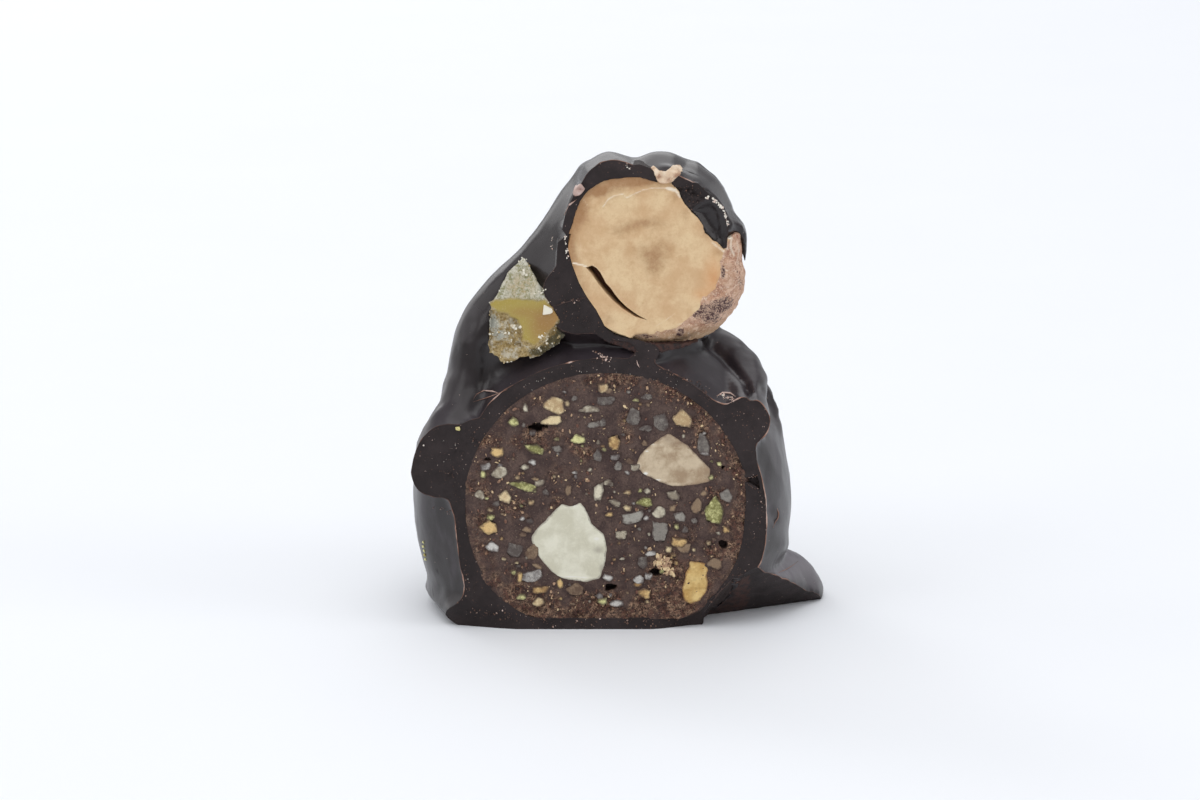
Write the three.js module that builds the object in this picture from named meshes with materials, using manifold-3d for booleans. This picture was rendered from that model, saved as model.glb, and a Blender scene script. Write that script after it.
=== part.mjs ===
// A dark chocolate truffle, sliced from top to bottom by one straight knife cut.
// A ball of nut ganache sits in a thick chocolate coat. A hazelnut and a lump of candied fruit ride
// on top, held by the same coat, which has run down in rolls and set in a foot round the base.
//
// Millimetres, +Z up. The knife's plane is Y = 0 and the cut faces look along -Y.
// The group stands with its origin on the floor, on the axis of the coated ball.

import * as THREE from "three";
import Module from "manifold-3d";
import { mergeVertices } from "three/addons/utils/BufferGeometryUtils.js";
import { MarchingCubes } from "three/addons/objects/MarchingCubes.js";
import { ConvexGeometry } from "three/addons/geometries/ConvexGeometry.js";

const wasm = await Module();
wasm.setup();

// ---- driving dimensions ----

const BODY = { at: [0, 7.8, 8.8], radius: 14.9 }; // the coated ball, which the floor flattens
const SKIRT = { ring: 13.0, thickness: 1.4, height: 0.55 }; // the foot that the coat sets in
const GANACHE = { at: [0.2, 7.4, 10.6], radii: [13.1, 12.9, 11.9], sag: 2.6, base: 0.95 };
const NUT = { at: [3.7, 3.2, 29.45], radii: [7.1, 7.1, 7.05] };
const NUT_CHIP = { at: [9.9, -0.5, 33.4], radius: 3.6 }; // missing from the nut, filled with coat
const CHIP_DISH = { at: [8.8, -0.5, 33.2], radii: [2.2, 1.2, 2.6] }; // the hollow in that filling
const SHELL = 0.4; // the thinnest chocolate over the nut
const GAP = 0.1; // between neighbouring pieces
const DRIP_RELIEF = 0.9; // how far the drips at the back stand out of the ball
const GRAIN_RELIEF = 0.15; // how far the cut grains stand out of the ganache

const COAT_CELL = 1.08; // size of the cells that the coat's surface is drawn in
const FAR = 60; // further than any point of the truffle

// ---- melted forms, as distance fields ----

// Each form is a function of (x, y, z) that gives the distance to its surface, negative inside.

const ball = ([cx, cy, cz], radius) => (x, y, z) => Math.hypot(x - cx, y - cy, z - cz) - radius;

const ellipsoid = ([cx, cy, cz], [rx, ry, rz]) => (x, y, z) => {
  const u = (x - cx) / rx;
  const v = (y - cy) / ry;
  const w = (z - cz) / rz;
  const reach = Math.hypot(u, v, w);
  return (reach * (reach - 1)) / Math.max(Math.hypot(u / rx, v / ry, w / rz), 1e-6);
};

// The side of a plane that its normal points away from.
const halfSpace = ([px, py, pz], normal) => {
  const [nx, ny, nz] = new THREE.Vector3(...normal).normalize().toArray();
  return (x, y, z) => (x - px) * nx + (y - py) * ny + (z - pz) * nz;
};

// A level ring round the body's axis, whose edge wanders in and out like a melted rim.
const wavyRing = ([cx, cy], { ring, thickness, height }) => (x, y, z) => {
  const turn = Math.atan2(y - cy, x - cx);
  const edge = ring + 0.3 * Math.sin(3 * turn + 1) + 0.25 * Math.sin(7 * turn);
  return Math.hypot(Math.hypot(x - cx, y - cy) - edge, z - height) - thickness;
};

// A roll of chocolate: a smooth curve through stops [x, y, z, radius], as thick as they say.
function roll(stops, steps = 18) {
  const path = new THREE.CatmullRomCurve3(stops.map(([x, y, z]) => new THREE.Vector3(x, y, z)));
  const girth = new THREE.CatmullRomCurve3(stops.map((stop) => new THREE.Vector3(stop[3], 0, 0)));
  const beads = [];
  for (let i = 0; i <= steps; i++) {
    const { x, y, z } = path.getPoint(i / steps);
    beads.push([x, y, z, girth.getPoint(i / steps).x]);
  }
  return (x, y, z) => {
    let nearest = Infinity;
    for (let i = 0; i < steps; i++) {
      const [ax, ay, az, ar] = beads[i];
      const [bx, by, bz, br] = beads[i + 1];
      const [dx, dy, dz] = [bx - ax, by - ay, bz - az];
      const along = ((x - ax) * dx + (y - ay) * dy + (z - az) * dz) / (dx * dx + dy * dy + dz * dz);
      const t = Math.min(1, Math.max(0, along));
      const off = Math.hypot(x - ax - t * dx, y - ay - t * dy, z - az - t * dz);
      nearest = Math.min(nearest, off - ar - t * (br - ar));
    }
    return nearest;
  };
}

// Two forms run together over a fillet of about the given width, and one form kept within another.
const blend = (a, b, width) => {
  const share = Math.max(width - Math.abs(a - b), 0) / width;
  return Math.min(a, b) - (share * share * width) / 4;
};
const within = (a, b, width) => -blend(-a, -b, width);

// ---- the coat ----

const body = ball(BODY.at, BODY.radius);
const leftFlat = halfSpace([-11.0, 0, 5.5], [-0.7, -0.7, -0.1]);
const skirt = wavyRing(BODY.at, SKIRT);
const rightFoot = ellipsoid([12.0, 10.8, 0.0], [5.8, 6.2, 3.7]);

const shell = ellipsoid(NUT.at, NUT.radii.map((r) => r + SHELL));
const rightBump = ball([4.95, 4.3, 31.2], 5.9);
const leftBump = roll([
  [1.2, -1.5, 34.0, 3.0],
  [1.0, 3.0, 33.7, 3.2],
  [1.3, 7.0, 32.2, 3.6],
  [2.2, 9.6, 28.5, 3.4],
]);
const bareSide = halfSpace([10.2, 2.0, 31.0], [0.71, -0.35, -0.61]);

const neck = roll([
  [-1.0, 5.0, 32.1, 2.8],
  [-3.8, 4.6, 27.9, 3.0],
  [-7.3, 4.8, 24.3, 3.0],
  [-9.2, 4.6, 21.8, 2.7],
  [-10.0, 4.4, 19.0, 2.3],
]);
const cheek = ball([-2.0, 2.2, 26.4], 3.5);
const pedestal = ellipsoid([2.2, 8.8, 24.2], [6.3, 4.4, 4.6]);
const saddle = roll([
  [2.9, -1.5, 21.9, 0.7],
  [4.6, 2.2, 22.2, 0.9],
  [7.0, 5.2, 22.4, 1.3],
]);

const leftRoll = roll([
  [-9.0, 4.4, 22.4, 2.3],
  [-10.2, 3.8, 19.5, 2.0],
  [-11.0, 2.6, 17.0, 1.9],
  [-12.6, 1.2, 14.6, 1.9],
  [-13.0, 0.0, 12.8, 1.8],
  [-13.0, -1.5, 11.6, 1.7],
]);
const rightRoll = roll([
  [4.5, 12.0, 22.4, 1.4],
  [8.2, 9.6, 20.9, 1.7],
  [10.3, 7.4, 19.4, 1.9],
  [11.2, 4.2, 17.9, 1.9],
  [11.1, 1.5, 16.9, 1.9],
  [11.0, -1.5, 16.4, 1.9],
]);
const rightRipple = roll([
  [10.2, 12.5, 18.2, 1.2],
  [12.0, 10.0, 17.0, 1.3],
  [12.8, 8.4, 15.2, 1.3],
  [13.2, 7.4, 13.2, 1.0],
]);
// At the back the coat has flowed off the nut in one broad apron, which ends in a few drips.
const apron = ellipsoid([0.0, 11.8, 20.8], [7.2, 6.8, 6.2]);
const drips = [
  { turn: 128, from: 58, to: 12, width: 2.3 },
  { turn: 96, from: 55, to: 22, width: 2.6 },
  { turn: 62, from: 56, to: 2, width: 2.4 },
  { turn: 30, from: 50, to: 18, width: 2.1 },
].map(({ turn, from, to, width }) => {
  const stops = [];
  for (const share of [0, 0.25, 0.5, 0.75, 1]) {
    const lean = THREE.MathUtils.degToRad(turn + 5 * Math.sin(5 * share + turn));
    const rise = THREE.MathUtils.degToRad(from + (to - from) * share);
    const radius = width * (1 - 0.25 * Math.sin(Math.PI * share));
    const off = BODY.radius + DRIP_RELIEF - radius;
    stops.push([
      BODY.at[0] + off * Math.cos(rise) * Math.cos(lean),
      BODY.at[1] + off * Math.cos(rise) * Math.sin(lean),
      BODY.at[2] + off * Math.sin(rise),
      radius,
    ]);
  }
  return roll(stops);
});

function coatDistance(x, y, z) {
  let d = within(body(x, y, z), leftFlat(x, y, z), 1.6);
  d = blend(d, skirt(x, y, z), 1.6);
  d = blend(d, rightFoot(x, y, z), 1.0);
  d = blend(d, pedestal(x, y, z), 2.0);
  d = blend(d, apron(x, y, z), 4.0);
  const cap = blend(blend(shell(x, y, z), rightBump(x, y, z), 0.6), leftBump(x, y, z), 0.8);
  d = blend(d, within(cap, bareSide(x, y, z), 0.8), 0.8);
  d = blend(d, neck(x, y, z), 1.6);
  d = blend(d, cheek(x, y, z), 0.8);
  d = blend(d, saddle(x, y, z), 0.5);
  d = blend(d, leftRoll(x, y, z), 1.0);
  d = blend(d, rightRoll(x, y, z), 0.6);
  d = blend(d, rightRipple(x, y, z), 0.5);
  for (const drip of drips) d = blend(d, drip(x, y, z), 1.2);
  return Math.max(d, -1.3 - y, -1.3 - z);
}

// Draws the surface where a distance field is zero, in cells of the given size. No value is let
// near zero at a cell's corner, so that the surface has no slivers.
function surfaceOf(distance, centre, reach, cell) {
  const cells = 2 * Math.ceil(reach / cell);
  const half = (cells / 2) * cell;
  const least = 0.08 * cell;
  const marcher = new MarchingCubes(cells, new THREE.MeshBasicMaterial(), false, false, 40000);
  for (let n = 0; n < cells ** 3; n++) {
    const [i, j, k] = [n % cells, Math.floor(n / cells) % cells, Math.floor(n / cells ** 2)];
    const [x, y, z] = [i, j, k].map((step, axis) => centre[axis] + step * cell - half);
    const d = distance(x, y, z);
    marcher.field[n] = -Math.sign(d || 1) * Math.min(Math.max(Math.abs(d), least), 2 * cell);
  }
  marcher.isolation = 0;
  marcher.update();
  const drawn = marcher.geometry.getAttribute("position").array.slice(0, marcher.count * 3);
  return new THREE.BufferGeometry()
    .setAttribute("position", new THREE.BufferAttribute(drawn, 3))
    .scale(half, half, half)
    .translate(...centre);
}

// ---- solids ----

// A closed three.js geometry as a solid that can be joined and cut.
function solid(geometry) {
  const bare = geometry.clone();
  bare.deleteAttribute("normal");
  bare.deleteAttribute("uv");
  const merged = mergeVertices(bare, 1e-4);
  return new wasm.Manifold(
    new wasm.Mesh({
      numProp: 3,
      vertProperties: new Float32Array(merged.attributes.position.array),
      triVerts: new Uint32Array(merged.index.array),
    }),
  );
}

function geometryOf(made) {
  const { numVert, numProp, vertProperties, triVerts } = made.getMesh();
  const points = new Float32Array(numVert * 3);
  for (let i = 0; i < numVert; i++)
    points.set(vertProperties.subarray(i * numProp, i * numProp + 3), i * 3);
  return new THREE.BufferGeometry()
    .setAttribute("position", new THREE.BufferAttribute(points, 3))
    .setIndex(new THREE.BufferAttribute(new Uint32Array(triVerts), 1));
}

const hull = (points) => solid(new ConvexGeometry(points.map((p) => new THREE.Vector3(...p))));

function block(low, high) {
  const size = high.map((h, axis) => h - low[axis]);
  const middle = high.map((h, axis) => (h + low[axis]) / 2);
  return solid(new THREE.BoxGeometry(...size).translate(...middle));
}

const inFrontOfKnife = block([-FAR, -FAR, -FAR], [FAR, 0, FAR]);
const belowFloor = block([-FAR, -FAR, -FAR], [FAR, FAR, 0]);

// An egg form. A sag above 2 swells the lower half towards a square section.
function rounded({ at, radii, sag = 2 }, grow, detail) {
  const geometry = new THREE.IcosahedronGeometry(1, detail);
  const points = geometry.attributes.position;
  for (let i = 0; i < points.count; i++) {
    const [x, y, z] = [points.getX(i), points.getY(i), points.getZ(i)];
    const swell = z < 0 ? (Math.hypot(x, y) ** sag + (-z) ** sag) ** (-1 / sag) : 1;
    points.setXYZ(i, x * swell, y * swell, z * swell);
  }
  const size = radii.map((r) => r + grow);
  return solid(geometry.scale(...size).translate(...at));
}

// ---- the ganache and what is in it ----

const ganacheBall = (grow) =>
  rounded(GANACHE, grow, 8).subtract(block([-FAR, -FAR, -FAR], [FAR, FAR, GANACHE.base - grow]));

// A lump cut through by the knife: its outline at the cut, and a smaller one some way behind.
const LUMPS = {
  nut_chunk_white: {
    depth: 4.5,
    outline: [
      [-2.3, 10.5],
      [-0.7, 9.6],
      [0.5, 7.6],
      [0.2, 5.0],
      [-1.8, 4.3],
      [-3.6, 5.0],
      [-4.9, 6.7],
      [-5.2, 8.1],
      [-4.1, 9.6],
    ],
  },
  nut_chunk_tan: {
    depth: 4.0,
    outline: [
      [2.6, 13.6],
      [4.3, 15.2],
      [5.0, 15.5],
      [6.9, 14.5],
      [8.2, 12.8],
      [8.0, 11.9],
      [6.1, 11.7],
      [3.9, 12.1],
      [2.7, 13.0],
    ],
  },
  nut_chunk_yellow: {
    depth: 2.2,
    outline: [
      [6.7, 5.3],
      [7.9, 5.3],
      [8.1, 3.8],
      [7.5, 2.5],
      [6.5, 2.3],
      [6.2, 3.8],
    ],
  },
};

function lump({ outline, depth }, grow) {
  const middle = [0, 1].map((axis) => outline.reduce((sum, p) => sum + p[axis], 0) / outline.length);
  const ringAt = (y, scale) =>
    outline.map(([x, z]) => {
      const [dx, dz] = [x - middle[0], z - middle[1]];
      const wider = scale + grow / Math.hypot(dx, dz);
      return [middle[0] + dx * wider, y, middle[1] + dz * wider];
    });
  return hull([...ringAt(grow ? -1 : 0, 1), ...ringAt(0.4 * depth, 0.95), ...ringAt(depth + grow, 0.5)]);
}

// The larger grains that show at the cut: middle x, z, width, height.
const GRAINS = [
  [-3.8, 17.8, 1.4, 1.4],
  [-3.9, 16.7, 1.2, 0.7],
  [-1.0, 17.6, 1.4, 0.7],
  [2.4, 17.0, 1.1, 1.1],
  [4.5, 16.6, 1.2, 1.3],
  [6.2, 16.8, 1.3, 1.3],
  [7.8, 14.8, 0.9, 1.3],
  [0.8, 15.0, 1.2, 1.3],
  [-7.0, 16.6, 1.0, 0.9],
  [-5.4, 14.6, 1.6, 0.9],
  [-8.2, 14.2, 1.2, 0.9],
  [-8.0, 12.6, 1.2, 0.9],
  [-6.2, 11.6, 1.6, 0.9],
  [-7.6, 10.8, 0.9, 1.0],
  [-0.4, 11.2, 1.5, 1.5],
  [8.7, 9.4, 1.4, 2.2],
  [4.4, 8.1, 1.2, 1.6],
  [2.3, 9.2, 1.7, 1.2],
  [5.5, 10.9, 1.2, 1.0],
  [6.0, 9.3, 1.3, 1.0],
  [-9.0, 8.2, 1.5, 1.5],
  [-8.5, 6.8, 1.0, 0.9],
  [-6.9, 6.5, 1.2, 1.4],
  [-5.5, 6.3, 1.0, 1.1],
  [-5.4, 4.5, 1.9, 0.9],
  [4.8, 5.5, 1.7, 1.6],
];

const grain = ([x, z, width, height], index) =>
  solid(
    new THREE.IcosahedronGeometry(1, 0)
      .rotateY(index)
      .scale(width / 2, GRAIN_RELIEF, height / 2)
      .translate(x, 0, z),
  );

// ---- the candied fruit, a broken lump that hangs from the neck ----

const CANDY = {
  middle: [-6.3, 2.2, 25.2],
  corners: [
    [-6.1, 0.5, 29.5],
    [-4.9, 0.0, 26.6],
    [-3.3, 0.0, 24.7],
    [-5.2, 0.0, 22.0],
    [-7.6, 0.0, 21.3],
    [-8.8, 0.0, 22.1],
    [-8.7, 0.0, 25.6],
    [-7.4, 0.4, 28.3],
    [-8.3, 4.6, 23.2],
    [-4.8, 4.6, 23.0],
    [-4.7, 4.4, 25.6],
    [-6.4, 4.6, 28.0],
  ],
};

function candy(grow) {
  const middle = new THREE.Vector3(...CANDY.middle);
  return hull(
    CANDY.corners.map((corner) => {
      const out = new THREE.Vector3(...corner).sub(middle);
      return out.setLength(out.length() + grow).add(middle).toArray();
    }),
  );
}

// ---- chips of nut that lie on the coat ----

const CHIPS = {
  nut_chip_top: { at: [4.9, 0.9, 36.0], radii: [1.3, 0.9, 0.7] },
  nut_chip_left: { at: [-1.9, 0.5, 34.6], radii: [0.5, 0.5, 0.6] },
};

// ---- cutting and fitting ----

// What broke off the foot in front, under a face that slopes back to the floor.
const brokenFoot = hull([
  [7.85, -1, -1],
  [8.0, -1, 2.2],
  [10.6, -1, 5.3],
  [20, -1, 9.3],
  [20, -1, -1],
  [20, 12.0, -1],
  [7.85, 5.4, -1],
]);

const sum = (parts) => parts.reduce((all, part) => all.add(part));
const cut = (made) => made.subtract(inFrontOfKnife);

const chipOff = (grow) => rounded({ ...NUT_CHIP, radii: Array(3).fill(NUT_CHIP.radius) }, grow, 3);
const nut = rounded(NUT, 0, 6).subtract(chipOff(0));
const nutRoom = rounded(NUT, GAP, 6).subtract(chipOff(-GAP));
const nutChip = (shape, grow) => rounded(shape, grow, 1).subtract(nutRoom);

const coat = cut(solid(surfaceOf(coatDistance, [1, 11, 18], 22, COAT_CELL)))
  .subtract(belowFloor)
  .subtract(brokenFoot)
  .subtract(ganacheBall(GAP))
  .subtract(nutRoom)
  .subtract(rounded(CHIP_DISH, 0, 2))
  .subtract(candy(GAP))
  .subtract(sum(Object.values(CHIPS).map((shape) => nutChip(shape, GAP))));
const ganache = cut(ganacheBall(0))
  .subtract(brokenFoot)
  .subtract(sum(Object.values(LUMPS).map((shape) => lump(shape, GAP))))
  .add(sum(GRAINS.map(grain)));

// ---- the finished group ----

const material = (color, roughness) =>
  new THREE.MeshStandardMaterial({ color, roughness, metalness: 0 });

const truffle = new THREE.Group();
truffle.position.set(-BODY.at[0], -BODY.at[1], 0);
function piece(name, made, look) {
  const mesh = new THREE.Mesh(geometryOf(made), look);
  mesh.name = name;
  truffle.add(mesh);
}

piece("coat", coat, material(0x2e211f, 0.35));
piece("ganache", ganache, material(0x3f2a25, 0.7));
piece("hazelnut", cut(nut), material(0xd8b07a, 0.6));
piece("candied_fruit", candy(0), material(0xa08a3a, 0.4));
const lumpColours = { nut_chunk_white: 0xe6e2d2, nut_chunk_tan: 0xc2ab90, nut_chunk_yellow: 0xc9a85a };
for (const [name, shape] of Object.entries(LUMPS))
  piece(name, lump(shape, 0), material(lumpColours[name], 0.55));
for (const [name, shape] of Object.entries(CHIPS))
  piece(name, nutChip(shape, 0), material(0xe3c4ae, 0.7));

export default truffle;
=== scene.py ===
import math
import random

import bpy
from mathutils import Euler, Matrix, Vector, kdtree, noise


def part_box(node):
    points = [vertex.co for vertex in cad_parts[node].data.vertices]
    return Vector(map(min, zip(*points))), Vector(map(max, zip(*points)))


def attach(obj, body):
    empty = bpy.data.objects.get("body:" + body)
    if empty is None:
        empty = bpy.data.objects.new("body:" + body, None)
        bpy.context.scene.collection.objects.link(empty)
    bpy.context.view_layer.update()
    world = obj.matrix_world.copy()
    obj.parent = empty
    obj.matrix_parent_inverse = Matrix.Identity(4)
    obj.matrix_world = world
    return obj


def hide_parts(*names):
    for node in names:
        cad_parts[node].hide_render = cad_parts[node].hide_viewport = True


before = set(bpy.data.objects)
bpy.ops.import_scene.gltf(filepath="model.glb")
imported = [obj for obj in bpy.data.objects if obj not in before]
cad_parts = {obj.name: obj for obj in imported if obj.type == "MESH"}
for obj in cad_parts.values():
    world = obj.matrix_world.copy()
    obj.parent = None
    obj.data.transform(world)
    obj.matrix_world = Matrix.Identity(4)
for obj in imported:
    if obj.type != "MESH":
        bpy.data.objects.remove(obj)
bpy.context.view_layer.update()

bl_info = {
    "name": "Cut chocolate truffle",
    "version": (1, 0, 0),
    "blender": (4, 5, 0),
    "location": "3D View > Sidebar > Truffle",
    "description": "Builds the looks of a chocolate truffle that was cut through",
    "category": "Object",
}

MM = 0.001
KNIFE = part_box("coat")[0].y  # the knife went down in this plane, and the cut faces -Y
SEED = 7
# The view: what it looks at in millimetres, from how far in metres, and how far it tilts down.
TARGET = (-0.236, 6.0, 17.08)
DISTANCE = 0.363
TILT = math.radians(12)
SLOPE = 0.2126  # how much higher a point is seen for each millimetre that it lies further back
SIGHT = Vector((0, 1, -SLOPE)).normalized()

# The filling's cut face is an ellipse: its middle and radii, in millimetres.
FILLING = (0.2, 10.6)
FILLING_RADII = (10.7, 9.75)
NUT = (3.7, 3.2, 29.45)
NUT_RADIUS = 7.12


# ---- places and shapes ----


def place(x, y, z):
    """A point in metres from millimetres to the right, behind the cut and above the floor."""
    return Vector((x * MM, KNIFE + y * MM, z * MM))


def flat(point):
    """Where a point lies on the cut: millimetres to the right and up."""
    return point.x / MM, point.z / MM


def behind(point):
    """How many millimetres a point lies behind the cut."""
    return (point.y - KNIFE) / MM


def seen(point):
    """Where a point is seen from a little above: millimetres to the right and up."""
    return point.x / MM, point.z / MM + SLOPE * behind(point)


def lumps(point, size, seed=0.0):
    """Smooth noise from -1 to 1 whose lumps are about size millimetres across."""
    return noise.noise(point / (size * MM) + Vector((seed, 2.3 * seed, 5.1 * seed)))


def skin_point(piece, x, z):
    """The point where a piece is seen at (x, z), as seen() gives them, and the way it faces."""
    found, point, facing, _ = piece.ray_cast(place(x, 0, z) - 20 * MM * SIGHT, SIGHT)
    return (point, facing) if found else None


def smooth_step(value, low, high):
    """0 below low, 1 above high and smooth between."""
    t = min(1.0, max(0.0, (value - low) / (high - low)))
    return t * t * (3 - 2 * t)


def bell(gap, width):
    """1 where the gap is nothing, falling softly to 0 beyond a width."""
    return math.exp(-((gap / width) ** 2))


def inside(outline, x, z):
    """Whether a point lies inside an outline."""
    result = False
    last_x, last_z = outline[-1]
    for next_x, next_z in outline:
        if (next_z > z) != (last_z > z):
            if x < (last_x - next_x) * (z - next_z) / (last_z - next_z) + next_x:
                result = not result
        last_x, last_z = next_x, next_z
    return result


def off_line(line, x, z):
    """How far a point is from a line of points, and whether it is above that line."""
    nearest, above = 1e9, False
    for (ax, az), (bx, bz) in zip(line, line[1:]):
        dx, dz = bx - ax, bz - az
        along = max(0.0, min(1.0, ((x - ax) * dx + (z - az) * dz) / (dx * dx + dz * dz)))
        gap = math.hypot(x - ax - along * dx, z - az - along * dz)
        if gap < nearest:
            nearest, above = gap, dx * (z - az) - dz * (x - ax) > 0
    return nearest, above


def within(outline, x, z, reach):
    """0 on or outside an outline, rising to 1 where a point is reach inside it."""
    if not inside(outline, x, z):
        return 0.0
    return min(1.0, off_line(outline + outline[:1], x, z)[0] / reach)


def spots(rows, x, z):
    """The sum of soft round spots, each (x, z, half width, half height, strength)."""
    total = 0.0
    for at_x, at_z, wide, high, strength in rows:
        off = ((x - at_x) / wide) ** 2 + ((z - at_z) / high) ** 2
        if off < 6:
            total += strength * math.exp(-off)
    return total


# ---- working on an object as by hand ----


def only(piece):
    """Selects one object alone and makes it the active one."""
    if bpy.context.object and bpy.context.object.mode != "OBJECT":
        done()
    bpy.ops.object.select_all(action="DESELECT")
    piece.select_set(True)
    bpy.context.view_layer.objects.active = piece


def done():
    """Leaves edit mode."""
    bpy.ops.object.mode_set(mode="OBJECT")


def edit(piece, wanted=None):
    """Opens an object in edit mode with all its faces selected, or those that are wanted."""
    only(piece)
    bpy.ops.object.mode_set(mode="EDIT")
    bpy.ops.mesh.select_mode(type="FACE")
    bpy.ops.mesh.select_all(action="DESELECT" if wanted else "SELECT")
    if wanted:
        done()
        for face in piece.data.polygons:
            face.select = wanted(face)
        bpy.ops.object.mode_set(mode="EDIT")


def closed(piece):
    """Turns the faces of the piece in edit mode outward and leaves edit mode."""
    bpy.ops.mesh.select_all(action="SELECT")
    bpy.ops.mesh.normals_make_consistent(inside=False)
    done()
    return piece


def modify(piece, kind, **settings):
    """Adds a modifier with its settings and applies it."""
    only(piece)
    change = piece.modifiers.new(kind.title(), kind)
    for name, value in settings.items():
        setattr(change, name, value)
    bpy.ops.object.modifier_apply(modifier=change.name)


def remesh(piece, cell, rounds):
    """Builds a piece anew from squares of cell millimetres and smooths it."""
    modify(piece, "REMESH", mode="VOXEL", voxel_size=cell * MM)
    modify(piece, "SMOOTH", factor=0.5, iterations=rounds)


def add(kind, **settings):
    """A new piece in one of the simple shapes."""
    bpy.ops.object.select_all(action="DESELECT")
    getattr(bpy.ops.mesh, f"primitive_{kind}_add")(**settings)
    return bpy.context.object


def copy_of(node):
    """A copy of a CAD node whose loose triangles are joined to one skin."""
    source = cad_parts[node]
    piece = source.copy()
    piece.data = source.data.copy()
    bpy.context.collection.objects.link(piece)
    piece.data.materials.clear()
    edit(piece)
    bpy.ops.mesh.customdata_custom_splitnormals_clear()
    bpy.ops.mesh.remove_doubles(threshold=1e-6)
    return closed(piece)


def grow(piece, by):
    """Swells a piece by some millimetres."""
    edit(piece)
    bpy.ops.transform.shrink_fatten(value=by * MM)
    done()
    return piece


def join(piece, *others):
    """Makes other objects a part of this one."""
    for other in others:
        only(piece)
        other.select_set(True)
        bpy.ops.object.join()


def combine(piece, tool, operation, slot=0):
    """Joins, cuts or trims a piece with a tool, which is used up.

    The faces that the tool makes get the piece's material of that slot."""
    for material in piece.data.materials:
        tool.data.materials.append(material)
    tool.data.polygons.foreach_set("material_index", [slot] * len(tool.data.polygons))
    modify(piece, "BOOLEAN", operation=operation, object=tool, solver="MANIFOLD")
    bpy.data.objects.remove(tool)


def waves(piece, *rows):
    """Raises and lowers a surface in waves: rows of their size and height in millimetres."""
    for size, height in rows:
        texture = bpy.data.textures.new("waves", "CLOUDS")
        texture.noise_scale = size * MM
        settings = {"texture": texture, "texture_coords": "LOCAL", "mid_level": 0.5}
        modify(piece, "DISPLACE", strength=height * MM, **settings)


def shift(piece, move):
    """Moves each vertex by move(vertex), all worked out before the first one moves."""
    moves = [move(vertex) for vertex in piece.data.vertices]
    for vertex, by in zip(piece.data.vertices, moves):
        vertex.co += by


def press(piece, folds):
    """Presses folds into a skin, or raises ridges where the depth is negative.

    Each fold is a line of points as seen() gives them, with half its width and its depth."""
    areas = []
    for line, width, _ in folds:
        xs, zs = zip(*line)
        reach = 2.3 * width
        areas.append((min(xs) - reach, max(xs) + reach, min(zs) - reach, max(zs) + reach))

    def push(vertex):
        x, z = seen(vertex.co)
        share = smooth_step(-vertex.normal.y, -0.6, -0.1)
        share *= smooth_step(KNIFE - vertex.co.y, -12 * MM, -8 * MM)
        total = 0.0
        if share:
            for (line, width, depth), (left, right, low, high) in zip(folds, areas):
                if left < x < right and low < z < high:
                    total -= share * depth * bell(off_line(line, x, z)[0], width)
        return vertex.normal * total * MM

    shift(piece, push)


def tuck(piece, side, far, rise, reach):
    """Rounds the foot from side out to far: its lowest part draws in by reach millimetres."""
    for vertex in piece.data.vertices:
        x, z = flat(vertex.co)
        if x < side and z < rise:
            share = (x - side) / (far - side)
            vertex.co.x += share * reach * (1 - z / rise) ** 1.5 * MM


def rim_distance(piece):
    """A measure of how far a point of a flat front lies from the rim, in millimetres."""
    rim = [vertex.co for vertex in piece.data.vertices if vertex.normal.y > -0.85]
    tree = kdtree.KDTree(len(rim))
    for number, point in enumerate(rim):
        tree.insert(point, number)
    tree.balance()
    return lambda vertex: tree.find(vertex.co)[2] / MM


def on_cut(measure):
    """A measure of a vertex from one of its place on the cut."""
    return lambda vertex: measure(*flat(vertex.co))


def tint(rows):
    """A measure of a vertex from 0 to 1: how strongly soft spots colour it."""
    return on_cut(lambda x, z: min(1.0, spots(rows, x, z)))


def keep_marks(piece, **marks):
    """Keeps numbers for each point of a mesh, as their measures give them."""
    for name, measure in marks.items():
        values = [measure(vertex) for vertex in piece.data.vertices]
        mark = piece.data.attributes.new(name, "FLOAT", "POINT")
        mark.data.foreach_set("value", values)


def knife_block(low, high, step, relief):
    """What the knife left standing: a block from the cut backwards.

    Its front is a grid between the corners low and high, (x, z) in millimetres, with squares
    of step millimetres, and relief(x, z) says how far each of its points lies behind the cut."""
    width, height = high[0] - low[0], high[1] - low[1]
    squares = {"x_subdivisions": round(width / step), "y_subdivisions": round(height / step)}
    block = add("grid", size=1, **squares)
    for vertex in block.data.vertices:
        x = low[0] + (vertex.co.x + 0.5) * width
        z = low[1] + (vertex.co.y + 0.5) * height
        vertex.co = place(x, relief(x, z), z)
    edit(block)
    bpy.ops.mesh.region_to_loop()
    bpy.ops.mesh.extrude_edges_move(TRANSFORM_OT_translate={"value": (0, 40 * MM, 0)})
    bpy.ops.mesh.edge_face_add()
    return closed(block)


def plate(outline, front, back):
    """A tool with the given outline, (x, z) in millimetres, between two depths."""
    tool = add("circle", vertices=len(outline), radius=1, fill_type="NGON")
    for vertex, (x, z) in zip(tool.data.vertices, outline):
        vertex.co = place(x, front, z)
    edit(tool)
    way = (0, (back - front) * MM, 0)
    bpy.ops.mesh.extrude_region_move(TRANSFORM_OT_translate={"value": way})
    return closed(tool)


def hull(points, roughness=0.3):
    """A tool that fills the shape between points, (x, y, z) in millimetres."""
    mesh = bpy.data.meshes.new("hull")
    mesh.from_pydata([place(*point) for point in points], [], [])
    tool = bpy.data.objects.new("hull", mesh)
    bpy.context.collection.objects.link(tool)
    edit(tool)
    bpy.ops.mesh.select_mode(type="VERT")
    bpy.ops.mesh.select_all(action="SELECT")
    bpy.ops.mesh.convex_hull()
    bpy.ops.mesh.subdivide(number_cuts=30)
    done()
    waves(tool, (0.8, roughness))
    return tool


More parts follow.
